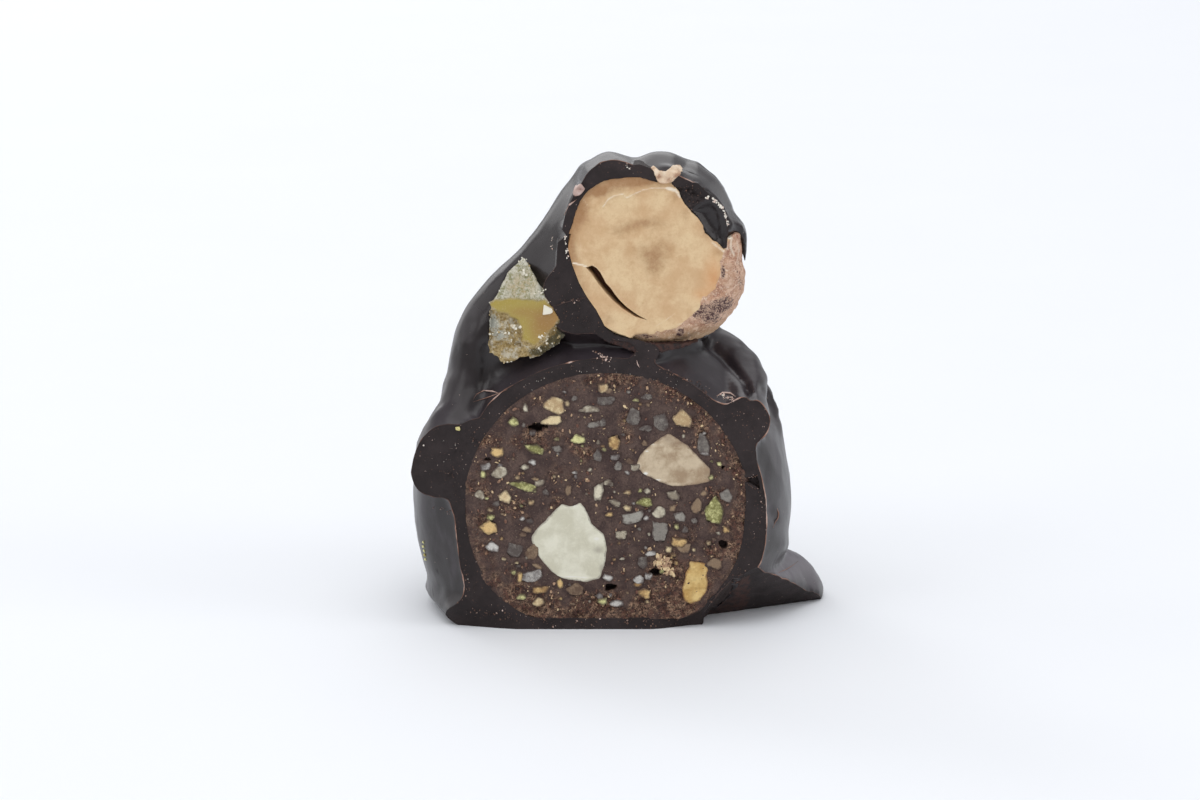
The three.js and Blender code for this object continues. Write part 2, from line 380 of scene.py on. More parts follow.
def flake(outline, pieces, thickness):
    """A thin flake that lies on other pieces. Its outline is as seen() gives it."""
    leaf = plate(outline, 0, 1)
    remesh(leaf, 0.1, 2)
    for vertex in leaf.data.vertices:
        x, z = flat(vertex.co)
        found = filter(None, [skin_point(piece, x, z) for piece in pieces])
        depth = min([4 * MM] + [point.y - KNIFE for point, _ in found])
        spot = place(x, 0, z) + SIGHT * (depth / SIGHT.y)
        vertex.co = spot - SIGHT * (thickness * (1 - behind(vertex.co)) - 0.06) * MM
    return leaf


def nut_ball(radius, detail):
    """A ball of small triangles in the nut's place."""
    size = [radius * MM] * 3
    ball = add("ico_sphere", subdivisions=detail, radius=1, location=place(*NUT), scale=size)
    bpy.ops.object.transform_apply(location=True, rotation=True, scale=True)
    return ball


def strand(lines, radius):
    """Thin rods along lines of points in metres, each as thick as radius(point) says."""
    curve = bpy.data.curves.new("strand", "CURVE")
    curve.dimensions = "3D"
    curve.bevel_depth = MM
    curve.bevel_resolution = 1
    for line in lines:
        spline = curve.splines.new("POLY")
        spline.points.add(len(line) - 1)
        for index, point in enumerate(line):
            spline.points[index].co = (*point, 1)
            at_end = index in (0, len(line) - 1)
            spline.points[index].radius = radius(point) * (0.35 if at_end else 1)
    piece = bpy.data.objects.new("strand", curve)
    bpy.context.collection.objects.link(piece)
    only(piece)
    bpy.ops.object.convert(target="MESH")
    piece = bpy.context.object
    edit(piece)
    bpy.ops.mesh.fill_holes(sides=0)
    return closed(piece)


def any_turn(chance):
    """A turn round all three axes."""
    return [chance.uniform(0, math.tau) for _ in range(3)]


def scatter(models, places, front=KNIFE):
    """Copies of models at places, joined to one mesh.

    Each place gives the model's number, the point, the turn, the size and the shade, which
    the joined mesh keeps as its attribute "shade". Whatever would stand in front of the cut is
    flattened, each copy a little differently so that none lie in one plane."""
    copies = []
    for number, point, turn, size, shade in places:
        copy = bpy.data.objects.new("bit", models[number].data.copy())
        copy.data.transform(Matrix.LocRotScale(point, Euler(turn), Vector(size) * MM))
        depth = front - 0.06 * MM * (len(copies) * 0.618 % 1)
        for vertex in copy.data.vertices:
            vertex.co.y = max(vertex.co.y, depth)
        keep_marks(copy, shade=lambda vertex: shade)
        bpy.context.collection.objects.link(copy)
        copies.append(copy)
    for model in models:
        bpy.data.objects.remove(model)
    only(copies[0])
    for copy in copies:
        copy.select_set(True)
    bpy.ops.object.join()
    return bpy.context.object


def pebble(seed, detail=3, sides=5, cut=0.7):
    """A broken bit about 2 across: flat facets all round its front and an uneven skin."""
    piece = add("ico_sphere", subdivisions=detail, radius=1)
    chance = random.Random(seed)
    facets = []
    for number in range(sides):
        turn = math.tau * (number + chance.uniform(-0.4, 0.4)) / sides
        facing = Vector((math.cos(turn), chance.uniform(-0.25, 0.25), math.sin(turn)))
        facets.append((facing.normalized(), cut + chance.uniform(-0.2, 0.2)))
    for vertex in piece.data.vertices:
        for facing, reach in facets:
            vertex.co -= facing * max(0.0, vertex.co.dot(facing) - reach)
        other = Vector((seed, 0, 0))
        uneven = 0.22 * noise.noise(vertex.co * 1.6 + other)
        vertex.co *= 1.15 + uneven + 0.14 * noise.noise(vertex.co * 4 + other)
    return piece


def finish(piece, node, part, materials, angle=50):
    """Names and shades one finished piece of a node, hangs it from the root and hides that node."""
    piece.name = piece.data.name = f"{node}_{part}"
    if list(piece.data.materials) != materials:
        dress(piece, materials)
    only(piece)
    if angle:
        bpy.ops.object.shade_smooth_by_angle(angle=math.radians(angle))
    else:
        bpy.ops.object.shade_flat()
    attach(piece, "root")
    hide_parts(node)


def dress(piece, materials):
    """Gives a piece its materials in place of any that it has."""
    piece.data.materials.clear()
    for material in materials:
        piece.data.materials.append(material)


# ---- materials ----


def screen(red, green, blue):
    """The linear colour of a screen colour whose parts go from 0 to 255."""
    return tuple(
        c / 12.92 if c <= 0.04045 else ((c + 0.055) / 1.055) ** 2.4
        for c in (red / 255, green / 255, blue / 255)
    )


class Wire:
    """The output of a shader node. Arithmetic on it adds Math nodes."""

    def __init__(self, board, socket):
        self.board = board
        self.socket = socket

    def math(self, operation, *values):
        """The result of a Math node between values."""
        return self.board.node("Math", {"operation": operation}, dict(enumerate(values)))

    def __add__(self, other):
        return self.math("ADD", self, other)

    def __sub__(self, other):
        return self.math("SUBTRACT", self, other)

    def __rsub__(self, other):
        return self.math("SUBTRACT", other, self)

    def __mul__(self, other):
        return self.math("MULTIPLY", self, other)

    __radd__ = __add__
    __rmul__ = __mul__

    def fade(self, low, high):
        """0 where the value is at low, 1 at high and smooth between."""
        inputs = {"Value": self, 1: low, 2: high}
        return self.board.node("MapRange", {"interpolation_type": "SMOOTHSTEP"}, inputs)


class Board:
    """The shader nodes of one new material, with lengths in millimetres."""

    def __init__(self, name):
        self.material = bpy.data.materials.new(name)
        self.material.use_nodes = True
        self.tree = self.material.node_tree
        self.tree.nodes.clear()
        inputs = {0: self.node("TexCoord", output="Object"), "Scale": 1 / MM}
        self.place = self.node("VectorMath", {"operation": "SCALE"}, inputs)

    def node(self, kind, settings={}, inputs={}, output=0):
        """Adds a node with its settings and its inputs, and gives one of its outputs."""
        node = self.tree.nodes.new("ShaderNode" + kind)
        for name, value in settings.items():
            setattr(node, name, value)
        for name, value in inputs.items():
            socket = node.inputs[name]
            if isinstance(value, Wire):
                self.tree.links.new(value.socket, socket)
            else:
                socket.default_value = (*value, 1) if socket.type == "RGBA" else value
        return Wire(self, node.outputs[output]) if node.outputs else None

    def noise(self, size, detail=3, rough=0.55, twist=0.0, drawn=1):
        """Soft noise from 0 to 1 with lumps about size millimetres across.

        Its lumps are drawn out upwards where drawn is below 1."""
        place = self.place
        if drawn != 1:
            lie = {0: place, 1: (1, 1, drawn)}
            place = self.node("VectorMath", {"operation": "MULTIPLY"}, lie)
        inputs = {"Vector": place, "Scale": 1 / size, "Detail": detail}
        inputs |= {"Roughness": rough, "Distortion": twist}
        return self.node("TexNoise", inputs=inputs)

    def threads(self, size, width):
        """Tangled thin lines, 1 on a line and 0 off it, in loops about size across."""
        level = self.noise(size, 4, 0.7, 0.6) - 0.5
        return 1 - level.math("ABSOLUTE", level).fade(width * 0.4, width)

    def specks(self, size, reach):
        """Round specks, one to a cell about size millimetres across: 1 on a speck, else 0."""
        cells = self.node("TexVoronoi", inputs={"Vector": self.place, "Scale": 1 / size})
        return cells.math("LESS_THAN", cells, reach)

    def layers(self, colour, *rows):
        """A colour with others laid over it, each as far as its share goes from 0 to 1."""
        for share, tone in rows:
            inputs = {0: share, 6: colour, 7: tone}
            colour = self.node("Mix", {"data_type": "RGBA"}, inputs, 2)
        return colour

    def part(self, direction):
        """The place in one direction, in millimetres."""
        return self.node("SeparateXYZ", inputs={0: self.place}, output=direction)

    def mark(self, name):
        """A number that the mesh keeps for each of its points."""
        return self.node("Attribute", {"attribute_name": name}, output="Fac")

    def surface(self, colour, roughness, relief, depth, gloss):
        """The finished surface. Its relief goes from 0 to 1 and is depth millimetres deep."""
        bump = {"Strength": 1.0, "Distance": depth * MM, "Height": relief}
        inputs = {"Base Color": colour, "Roughness": roughness, "Specular IOR Level": gloss}
        inputs["Normal"] = self.node("Bump", inputs=bump)
        shader = self.node("BsdfPrincipled", inputs=inputs)
        self.node("OutputMaterial", inputs={"Surface": shader})
        return self.material


def chocolate_skin(look):
    """Dipped dark chocolate: satin, faint streaks, a pale film, and painted sheen where it faces
    up.
    """
    board = Board("chocolate skin")
    cloudy = board.noise(4.0, 4, 0.6)
    streaks = board.noise(1.1, 4, 0.55, drawn=0.4)
    fine = board.noise(0.12, 3, 0.6)
    up, height = board.mark("up"), board.part("Z")
    low, high = 1 - height.fade(7, 19), height.fade(22, 28)
    # Its share from the pale film of old chocolate: streaks low down, clouds all over; the painted
    # sheen is added below.
    bloom_and_sheen = streaks.fade(0.45, 0.75) * low * 0.35 + cloudy.fade(0.4, 0.8) * 0.25
    puddle = board.part("X").fade(10, 13.5) * (1 - height.fade(4, 6.5))
    colour = board.layers(
        look.skin,
        # Faces that look up take the pale tone too, as painted sheen, less of it on the cap.
        (bloom_and_sheen * (1 - 0.6 * high) + up.fade(0.1, 1.0) * (0.35 - 0.2 * high), look.bloom_and_sheen),
        # Painted sheen on the puddle's top where it faces up.
        (puddle * up.fade(0.1, 0.8) * 0.8, look.puddle_sheen),
        (board.specks(0.9, 0.035) * 0.5, look.burr),
    )
    roughness = 0.25 + 0.12 * streaks.fade(0.5, 0.7) * low + 0.12 * cloudy - 0.07 * high
    relief = cloudy * 0.4 + streaks * low * 0.1 + fine * 0.06
    return board.surface(colour, roughness, relief, 0.09, 0.45)


def chocolate_cut(look):
    """Dark chocolate where the knife went through: dull, dragged and full of light specks."""
    board = Board("chocolate cut")
    drag = board.noise(0.5, 4, 0.65, 0.4, drawn=0.45)
    fine = board.noise(0.09, 4, 0.7)
    crumbs = board.noise(0.14, 2, 0.5).fade(0.64, 0.74) * board.noise(0.8, 2).fade(0.42, 0.6)
    specks = board.specks(0.42, 0.07) * board.noise(1.1, 1).fade(0.46, 0.55)
    colour = board.layers(
        look.cut,
        (board.noise(2.2, 3, 0.6).fade(0.35, 0.7), look.cut_light),
        (crumbs * 0.6, look.crumb),
        (specks * 0.7, look.burr),
    )
    return board.surface(colour, 0.52 + 0.2 * fine, drag * 0.5 + fine * 0.4, 0.07, 0.3)


def chocolate_burr(look):
    """The thin line of chocolate that the knife drew out along its edges."""
    board = Board("chocolate burr")
    tone = board.mark("shade") + (board.noise(0.5, 3, 0.6) - 0.5) * 0.5
    fine = board.noise(0.08, 3, 0.6)
    rows = (tone.fade(0.15, 0.6), look.burr_mid), (tone.fade(0.55, 1.1), look.burr)
    colour = board.layers(look.burr_dark, *rows)
    return board.surface(colour, 0.4 + 0.25 * fine, fine, 0.02, 0.4)


def chocolate_torn(look):
    """Chocolate that was torn, not cut: red-brown, rough and dull."""
    board = Board("torn chocolate")
    patches = board.noise(0.45, 4, 0.65)
    fine = board.noise(0.1, 3, 0.6)
    rows = (patches.fade(0.35, 0.6), look.torn), (fine.fade(0.62, 0.75) * 0.5, look.crumb)
    colour = board.layers(look.cut, *rows)
    return board.surface(colour, 0.5 + 0.2 * fine, patches * 0.6 + fine * 0.4, 0.08, 0.3)


def filling_paste(look):
    """Nut ganache: smeared brown paste, torn to tangled red-brown crumb in places."""
    board = Board("nut ganache")
    torn = board.mark("torn")
    fine = board.noise(0.12, 4, 0.75)
    zone = (torn + board.noise(0.8, 3, 0.6) * 0.7).fade(0.42, 0.95)
    crumb = board.layers(look.crumb_red, (board.noise(0.5, 2).fade(0.4, 0.62), look.crumb_gold))
    specks = board.specks(0.3, 0.09) * board.noise(0.7, 1).fade(0.42, 0.5)
    colour = board.layers(
        look.paste,
        (board.noise(1.3, 4, 0.65).fade(0.36, 0.64), look.paste_light),
        (fine.fade(0.42, 0.62) * 0.5, look.paste_dark),
        (torn * 0.6, look.paste_dark),
        (board.threads(0.42, 0.035) * zone * 0.9, crumb),
        (board.threads(0.2, 0.05) * zone * 0.75, crumb),
        (specks * 0.55, look.speck),
        (board.noise(0.1, 1).fade(0.72, 0.77) * (zone * 0.6 + 0.2), look.crumb_pale),
        # Painted shade in the holes, growing with their depth.
        (board.mark("depth").fade(0.1, 0.5), look.pore_shade),
        (board.part("Y").fade(-7.5, -7.1), look.side),
    )
    relief = board.threads(0.42, 0.12) * zone * 0.6 + fine * (zone * 0.4 + 0.25)
    return board.surface(colour, 0.45 + 0.3 * fine + 0.15 * torn, relief, 0.12, 0.35)


def bit_flesh(name, light, dark, film, gloss, paste):
    """A small cut bit of nut or seed, partly under a film of paste that laps its rim."""
    board = Board(name)
    shade = board.mark("shade")
    cloudy = board.noise(0.45, 4, 0.7)
    fibre = board.noise(0.09, 4, 0.75)
    edge = 1 - (board.mark("rim") + (cloudy - 0.5) * 0.3 + (fibre - 0.5) * 0.15).fade(0.0, 0.2)
    smear = (cloudy * 0.8 + shade * -0.5 + 0.45).fade(0.25, 0.65) * film
    palest = [min(1.0, 1.35 * part) for part in light]
    colour = board.layers(
        dark,
        ((cloudy * 1.1 + shade * 0.5 - 0.3).fade(0.3, 0.7), light),
        (fibre.fade(0.45, 0.7) * 0.45, dark),
        (board.threads(0.3, 0.04) * cloudy.fade(0.4, 0.6) * 0.5, palest),
        (edge.math("MAXIMUM", edge * 0.85, smear), paste),
    )
    relief = fibre * 0.5 + cloudy * 0.5
    return board.surface(colour, 0.55 - 0.3 * gloss * cloudy, relief, 0.08, 0.4)


def chunk_flesh(name, light, dark, rim, grain_size, grain_depth):
    """A large cut piece of nut: pale flesh, clouded, with a faint grain and a film at its rim."""
    board = Board(name)
    lit = board.mark("lit")
    grain = board.noise(grain_size, 5, 0.7)
    edge = 1 - (board.mark("rim") + (grain - 0.5) * 0.5).fade(0.0, 0.16)
    colour = board.layers(
        dark,
        ((board.noise(1.6, 4, 0.6) + lit * 0.3).fade(0.38, 0.66), light),
        (grain.fade(0.5, 0.72) * 0.45, dark),
        (board.threads(1.1, 0.012) * 0.35, light),
        (lit.fade(0.6, 1.0), (0.86, 0.84, 0.78)),
        (board.mark("dull").fade(0.1, 1.0) * 0.8, rim),
        (edge * (1 - lit) * 0.75, rim),
    )
    relief = grain * 0.7 + board.noise(0.08, 3, 0.6) * 0.3
    return board.surface(colour, 0.38 + 0.25 * grain, relief, grain_depth, 0.4)


def nut_flesh(look):
    """Cut hazelnut: cream flesh, browner at its heart and rim, and rough brown skin."""
    board = Board("hazelnut flesh")
    skin, pale, patch = board.mark("skin"), board.mark("pale"), board.mark("patch")
    mottle = board.noise(0.7, 5, 0.7)
    grain = board.noise(0.16, 4, 0.75)
    brown = (board.mark("brown") * (0.3 + 1.4 * mottle)).fade(0.0, 0.85)
    flesh = board.layers(
        look.flesh,
        (board.noise(2.4, 5, 0.65, 0.3).fade(0.38, 0.64), look.flesh_light),
        (mottle.fade(0.45, 0.7) * 0.28, look.flesh_dark),
        (grain.fade(0.5, 0.72) * 0.3, look.flesh_dark),
        (brown * (0.6 + 0.4 * grain), look.flesh_brown),
        (board.mark("orange") * (0.2 + mottle), look.flesh_orange),
        ((pale * (0.2 + 1.5 * mottle)).fade(0.2, 0.75), look.ridge),
    )
    red = board.threads(0.5, 0.05) * board.noise(1.0, 3, 0.6).fade(0.42, 0.58)
    dark = (patch + (board.noise(0.45, 5, 0.8) - 0.5) * 1.8).fade(0.35, 0.6)
    husk = board.layers(
        look.husk,
        (board.noise(0.5, 5, 0.75).fade(0.4, 0.6), look.husk_light),
        (red * 0.75, look.husk_red),
        ((1 - board.part("Z").fade(22.8, 24.6)) * 0.6, look.husk_gold),
        (board.noise(0.22, 4, 0.8).fade(0.56, 0.66) * 0.8, look.ridge),
        (dark * patch.fade(0.05, 0.35), look.husk_dark),
        (board.threads(0.4, 0.05) * patch.fade(0.1, 0.5) * 0.7, look.husk_light),
        (pale.fade(0.3, 0.9) * 0.8, look.ridge),
    )
    blotch = (skin + (mottle - 0.5) * 0.9 + (grain - 0.5) * 0.3).fade(0.38, 0.62)
    # The crack's walls take the crack colour as painted shade.
    colour = board.layers(flesh, (blotch, husk), (board.mark("wall"), look.crack))
    relief = grain * (0.3 + 0.7 * skin) + mottle * 0.3
    return board.surface(colour, 0.5 + 0.25 * grain, relief, 0.09, 0.35)


def fruit_flesh(look):
    """Candied fruit: a clear amber cut face, the rest frosted with sugar."""
    board = Board("candied fruit")
    frost = board.mark("frost")
    patches = board.noise(0.7, 4, 0.7)
    grain = board.noise(0.2, 5, 0.8)
    clear = board.layers(
        look.amber,
        ((board.mark("deep") + (board.noise(1.4, 3, 0.5) - 0.5) * 0.6).fade(0, 1), look.amber_deep),
        (grain.fade(0.5, 0.7) * 0.15, look.frost_gold),
    )
    top = board.layers(
        look.peel,
        ((grain + (patches - 0.5) * 0.5).fade(0.36, 0.6), look.frost),
        (board.mark("tan") * patches.fade(0.35, 0.6), look.frost_gold),
    )
    crust = board.layers(
        look.frost_dark,
        (grain.fade(0.4, 0.6), look.frost_gold),
        (patches.fade(0.5, 0.65) * 0.6, look.frost),
        (board.mark("top"), top),
        ((board.mark("cool") + (grain - 0.5) * 2.4).fade(0.3, 0.7) * 0.8, look.sugar_cool),
        ((board.mark("rind") + (grain - 0.5) * 1.6).fade(0.3, 0.6) * 0.85, look.rind),
    )
    sparkle = board.noise(0.11, 2, 0.6).fade(0.60, 0.68) * (board.mark("white") * 0.8 + 0.35)
    colour = board.layers(clear, (frost, crust), (sparkle * frost, look.sugar))
    relief = grain * frost + board.noise(0.09, 3, 0.7) * (frost * 0.4 + 0.1)
    return board.surface(colour, 0.16 + 0.35 * frost + 0.2 * grain, relief, 0.14, 0.5)


def crumb_surface(name, *tones):
    """Crumbs of several tones, from the darkest to the lightest."""
    board = Board(name)
    shade = board.mark("shade") + (board.noise(0.12, 2, 0.5) - 0.5) * 0.5
    fine = board.noise(0.07, 3, 0.6)
    step = 0.8 / (len(tones) - 1)
    lows = [0.1 + step * number for number in range(len(tones) - 1)]
    rows = [(shade.fade(low, low + step), tone) for low, tone in zip(lows, tones[1:])]
    return board.surface(
        board.layers(tones[0], *rows), 0.45 + 0.25 * fine, fine, 0.03, 0.4
    )


# ---- settings that a user may change ----


def paint(name, description, red, green, blue):
    """A colour, given as it shows on a screen."""
    return bpy.props.FloatVectorProperty(
        name=name, description=description, subtype="COLOR", size=3, min=0, max=1,
        default=screen(red, green, blue),
    )


def length(name, description, millimetres):
    """A length of some millimetres."""
    return bpy.props.FloatProperty(
        name=name, description=description, subtype="DISTANCE", unit="LENGTH",
        default=millimetres * MM, min=0, precision=6,
    )


class ChocolateLook(bpy.types.PropertyGroup):
    skin: paint("Skin", "Dipped dark chocolate", 27, 19, 19)
    # Painted sheen, laid on the puddle's top where it faces up.
    puddle_sheen: paint("Haze", "Blue-grey film on the puddle", 104, 98, 106)
    # A pale tone for the film on old chocolate and for painted sheen on faces that look up.
    bloom_and_sheen: paint("Bloom", "Pale film on old chocolate", 84, 77, 84)
    cut: paint("Cut", "Chocolate where the knife went through", 36, 28, 28)
    cut_light: paint("Cut, lighter", "Smeared patches of the cut", 50, 41, 41)
    torn: paint("Torn", "Chocolate that was torn off", 70, 46, 40)
    crumb: paint("Crumb", "Torn crumbs on the cut", 112, 82, 68)
    burr: paint("Burr", "Curls along the knife's edges", 226, 198, 186)
    burr_mid: paint("Burr, brown", "The middle tone of the curls", 148, 108, 90)
    burr_dark: paint("Burr, darker", "The thinner parts of the curls", 66, 47, 43)
    cell: length("Cell", "Size of the squares that the coat is built from", 0.25)


class FillingLook(bpy.types.PropertyGroup):
    paste: paint("Paste", "Smeared nut ganache", 68, 50, 46)
    paste_light: paint("Paste, lighter", "Thin smears", 96, 76, 68)
    paste_dark: paint("Paste, darker", "Dense paste", 42, 29, 28)
    crumb_red: paint("Crumb, red", "Torn crumbs near the rim", 112, 76, 62)
    crumb_gold: paint("Crumb, gold", "Lighter torn crumbs", 172, 138, 112)
    crumb_pale: paint("Crumb, pale", "The palest crumbs", 228, 202, 160)
    speck: paint("Speck", "Ground nut in the paste", 168, 156, 136)
    side: paint("Side", "Sides of the filling, smeared with chocolate", 44, 30, 27)
    # Painted shade in the filling's holes, darker where they are deeper.
    pore_shade: paint("Pore", "The depth of a hole", 18, 11, 10)
    cell: length("Cell", "Size of the squares of the cut face", 0.11)


class HazelnutLook(bpy.types.PropertyGroup):
    flesh: paint("Flesh", "Cut hazelnut", 212, 176, 134)
    flesh_light: paint("Flesh, lighter", "The palest flesh", 228, 200, 158)
    flesh_dark: paint("Flesh, darker", "Mottled flesh", 192, 150, 106)
    flesh_brown: paint("Flesh, brown", "The heart and rim of the nut", 158, 114, 74)
    flesh_orange: paint("Flesh, orange", "Toasted flesh", 214, 152, 100)
    ridge: paint("Ridge", "Pale ridges that the knife left", 244, 230, 208)
    husk: paint("Skin", "Rough skin of the nut", 192, 148, 120)
    husk_light: paint("Skin, lighter", "Rubbed skin", 224, 190, 164)
    husk_red: paint("Skin, red", "Streaks in the skin", 146, 82, 60)
    husk_gold: paint("Skin, golden", "Skin under the nut", 178, 148, 108)
    husk_dark: paint("Skin, darker", "Skin that is left on", 84, 58, 56)
    # Painted shade on the crack's walls, an orange-brown that deepens behind the cut.
    crack: paint("Crack", "Inside the crack", 92, 50, 26)


class FruitLook(bpy.types.PropertyGroup):
    amber: paint("Amber", "Clear cut fruit", 170, 150, 74)
    amber_deep: paint("Amber, deeper", "Thicker fruit", 158, 120, 64)
    frost: paint("Frost", "Sugar crust", 226, 222, 206)
    frost_gold: paint("Frost, gold", "Sugar over ripe fruit", 196, 172, 122)
    frost_dark: paint("Frost, darker", "Fruit under thin sugar", 138, 112, 58)
    peel: paint("Peel", "The green outside", 146, 142, 96)
    rind: paint("Rind", "The dark skin under the fruit", 66, 62, 34)
    sugar: paint("Sugar", "Sugar crystals", 238, 232, 214)
    sugar_cool: paint("Sugar, cool", "Thick wet sugar", 182, 186, 178)


class StageLook(bpy.types.PropertyGroup):
    floor: paint("Floor", "The pale surface", 244, 246, 250)
    glow: bpy.props.FloatProperty(
        name="Room light", description="How bright the white room is", default=0.46, min=0
    )


# ---- the coat ----


# The skin over the nut: how thick it is, how far behind the cut it starts and its lowest edge.
COVER = 0.3
COVER_FRONT = 2.5
COVER_FLOOR = 31
SKIN_WAVES = ((5.0, 0.25), (1.8, 0.05))
SKIN_ROUNDING = 8
FOOT = (-9, -14.3, 1.5, 1.5)  # where its left side draws in, as tuck() takes it
LAP_DEPTH = 2.2
TEAR_DEPTH = 0.6
COAT_CUT = ((-17, 0), (20, 39), 0.15)  # corners and squares of the coat's cut face
# Folds and ridges of the skin: a line as seen() gives it, half its width, and its depth.
FOLDS = (
    (((7.7, 23.2), (8.5, 22.6), (9.4, 21.9), (10.2, 20.9), (11.0, 19.9), (11.3, 19.2)), 0.3, 0.32),
    (((8.7, 23.4), (10.0, 23.2), (11.1, 22.5), (11.95, 21.4), (12.6, 20.3)), 0.7, -0.12),
    (((12.6, 19.2), (13.2, 18.3), (13.7, 17.1)), 0.5, 0.3),
    (((11.3, 19.6), (11.55, 18.1), (11.95, 17.0)), 0.25, 0.25),
    (((-9.0, 22.4), (-9.05, 20.4), (-9.3, 18.8), (-9.9, 17.4)), 0.5, 0.45),
    (((-11.8, 25.6), (-12.2, 24.0), (-12.3, 22.4), (-12.4, 20.8)), 1.0, 0.25),
    (((-10.3, 24.4), (-10.6, 23.6)), 0.5, 0.12),
    (((2.4, 38.2), (2.8, 37.2), (3.2, 36.5)), 0.8, 0.3),
    (((-1.6, 37.1), (-0.85, 37.6), (0.1, 37.9)), 0.9, -0.42),
    (((6.7, 37.4), (8.3, 36.5), (9.6, 35.2), (10.5, 33.6)), 1.1, 0.6),
    (((14.4, 6.5), (15.7, 6.0), (16.9, 5.1), (17.4, 4.2)), 0.9, -0.3),
    (((13.1, 9.6), (13.5, 8.8)), 0.3, 0.15),
    (((-14.4, 12.0), (-13.9, 7.0), (-13.6, 3.0)), 1.2, -0.2),
)
# The puddle's front, before it broke off along the face below. Both are (x, y, z).
PUDDLE = (
    (11.2, -0.5, 5.3), (12.9, 1.2, 4.1), (14.2, 3.2, 3.3), (15.1, 4.9, 2.6), (15.9, 6.6, 1.9),
    (16.6, 8.2, 1.2), (17.15, 9.6, 0.4), (17.05, 9.6, -0.3), (11.5, 8, 5.2), (13.6, 10, 4.5),
    (15.2, 11, 3.7), (16.2, 11, 3.1), (16.9, 10.8, 2.3), (17.3, 10.5, 1.3), (17.25, 10.3, -0.3),
    (11.2, -0.5, -0.3), (14.2, 3.2, -0.3), (11.5, 8, -0.3), (15.2, 11, -0.3),
)
BROKEN_FOOT = (
    (7.85, -1, -1), (8.0, -1, 2.1), (10.6, -1, 5.15), (20, -1, 9.1), (20, -1, -1),
    (20, 12.2, -1), (7.85, 5.6, -1),
)
# The crack along the right wall, where the coat's cut face opened.
TEAR = (
    (11.94, 12.4), (11.45, 12.23), (10.86, 12.13), (10.26, 12.28), (10.36, 12.03), (10.96, 11.81),
    (11.4, 11.75), (11.85, 11.49), (12.2, 11.19), (12.14, 11.89),
)
# The chocolate at the nut's right edge, which reaches down past the skin's tip, (x, y, z).
FLANK = (
    (10.5, 1.3, 32.2), (10.85, 1.7, 31.6), (11.05, 2.1, 30.8), (11.12, 2.4, 30.0),
    (11.1, 2.8, 29.0), (11.0, 3.0, 28.6), (11.05, 4.6, 31.6), (11.05, 4.6, 30.3),
    (10.85, 4.0, 28.9), (10.5, 3.0, 31.9), (10.6, 3.2, 30.2),
)
# The edge of the nut's flesh, where the coat stops, and three places where it laps over the nut.
FLESH = (
    (-2.69, 30.21), (-2.64, 31.38), (-2.35, 32.15), (-2.1, 33.12), (-1.76, 33.99), (-1.22, 34.71),
    (-0.54, 35.19), (0.09, 35.53), (0.87, 35.67), (1.84, 35.77), (2.82, 35.77), (3.45, 35.58),
    (4.28, 35.4), (5.2, 35.35), (5.85, 34.6), (6.25, 33.7), (7.25, 32.65), (7.85, 31.45),
    (8.4, 30.95), (9.3, 30.2), (10.5, 31.0), (11.0, 28.0), (9.3, 24.86), (6.37, 23.01),
    (4.31, 22.91), (2.84, 23.11), (1.86, 23.2), (0.88, 23.45), (0.14, 24.13), (-0.1, 24.62),
    (-0.54, 25.45), (-1.23, 26.42), (-1.86, 27.59), (-2.35, 28.9),
)
LAPS = (
    (
        (-2.85, 31.3), *FLESH[1:9], (1.94, 35.77), (2.0, 36.85), (0.9, 36.95), (0.1, 36.85),
        (-0.5, 36.55), (-1.05, 36.0), (-1.5, 35.35), (-2.15, 34.6), (-2.6, 33.7), (-2.9, 32.8),
        (-3.15, 31.7),
    ),
    (*FLESH[9:12], (4.18, 35.36), (4.0, 36.1), (3.6, 36.5), (2.8, 36.8), (1.9, 36.7)),
    (
        FLESH[1], FLESH[0], *FLESH[:26:-1], (0.5, 22.85), (-1.0, 23.8), (-2.3, 25.2),
        (-3.2, 26.9), (-3.6, 28.8), (-3.5, 30.7),
    ),
)
# Where the nut's chip came off: the chocolate behind it, its smooth dish and its rough part.
PLUG = (
    (5.1, 35.6), (6.2, 35.6), (7.3, 35.3), (8.0, 34.6), (8.6, 34.0), (9.2, 33.35), (9.55, 32.7),
    (9.65, 31.8), (9.55, 30.9), (9.5, 30.1), (9.2, 29.9), (8.35, 30.5), (7.2, 31.5), (6.3, 32.8),
    (5.5, 33.8), (4.9, 34.8),
)
DISH = (
    (6.4, 33.3), (7.0, 33.6), (7.8, 34.05), (8.5, 34.1), (9.05, 33.5), (9.4, 32.7), (9.5, 31.8),
    (9.35, 30.4), (8.6, 30.6), (7.7, 31.5), (7.0, 32.6),
)
GRAINY = ((5.3, 35.1), (6.9, 35.1), (8.0, 34.4), (7.7, 33.9), (6.9, 33.3), (6.2, 33.4))
# Patches of the cut that are rough: (x, z, half width, half height, strength).
ROUGH = (
    (-11.6, 11.7, 1.1, 1.2, 0.10), (-1.8, 25.0, 1.6, 1.2, 0.12), (5.4, 20.0, 2.4, 0.8, 0.08),
    (-10.2, 15.5, 1.2, 0.9, 0.10), (10.2, 16.5, 1.6, 1.2, 0.06), (-9.5, 3.0, 1.6, 1.2, 0.10),
    (0.0, 0.5, 8.0, 0.6, 0.05), (11.2, 12.6, 0.9, 0.8, 0.10),
)
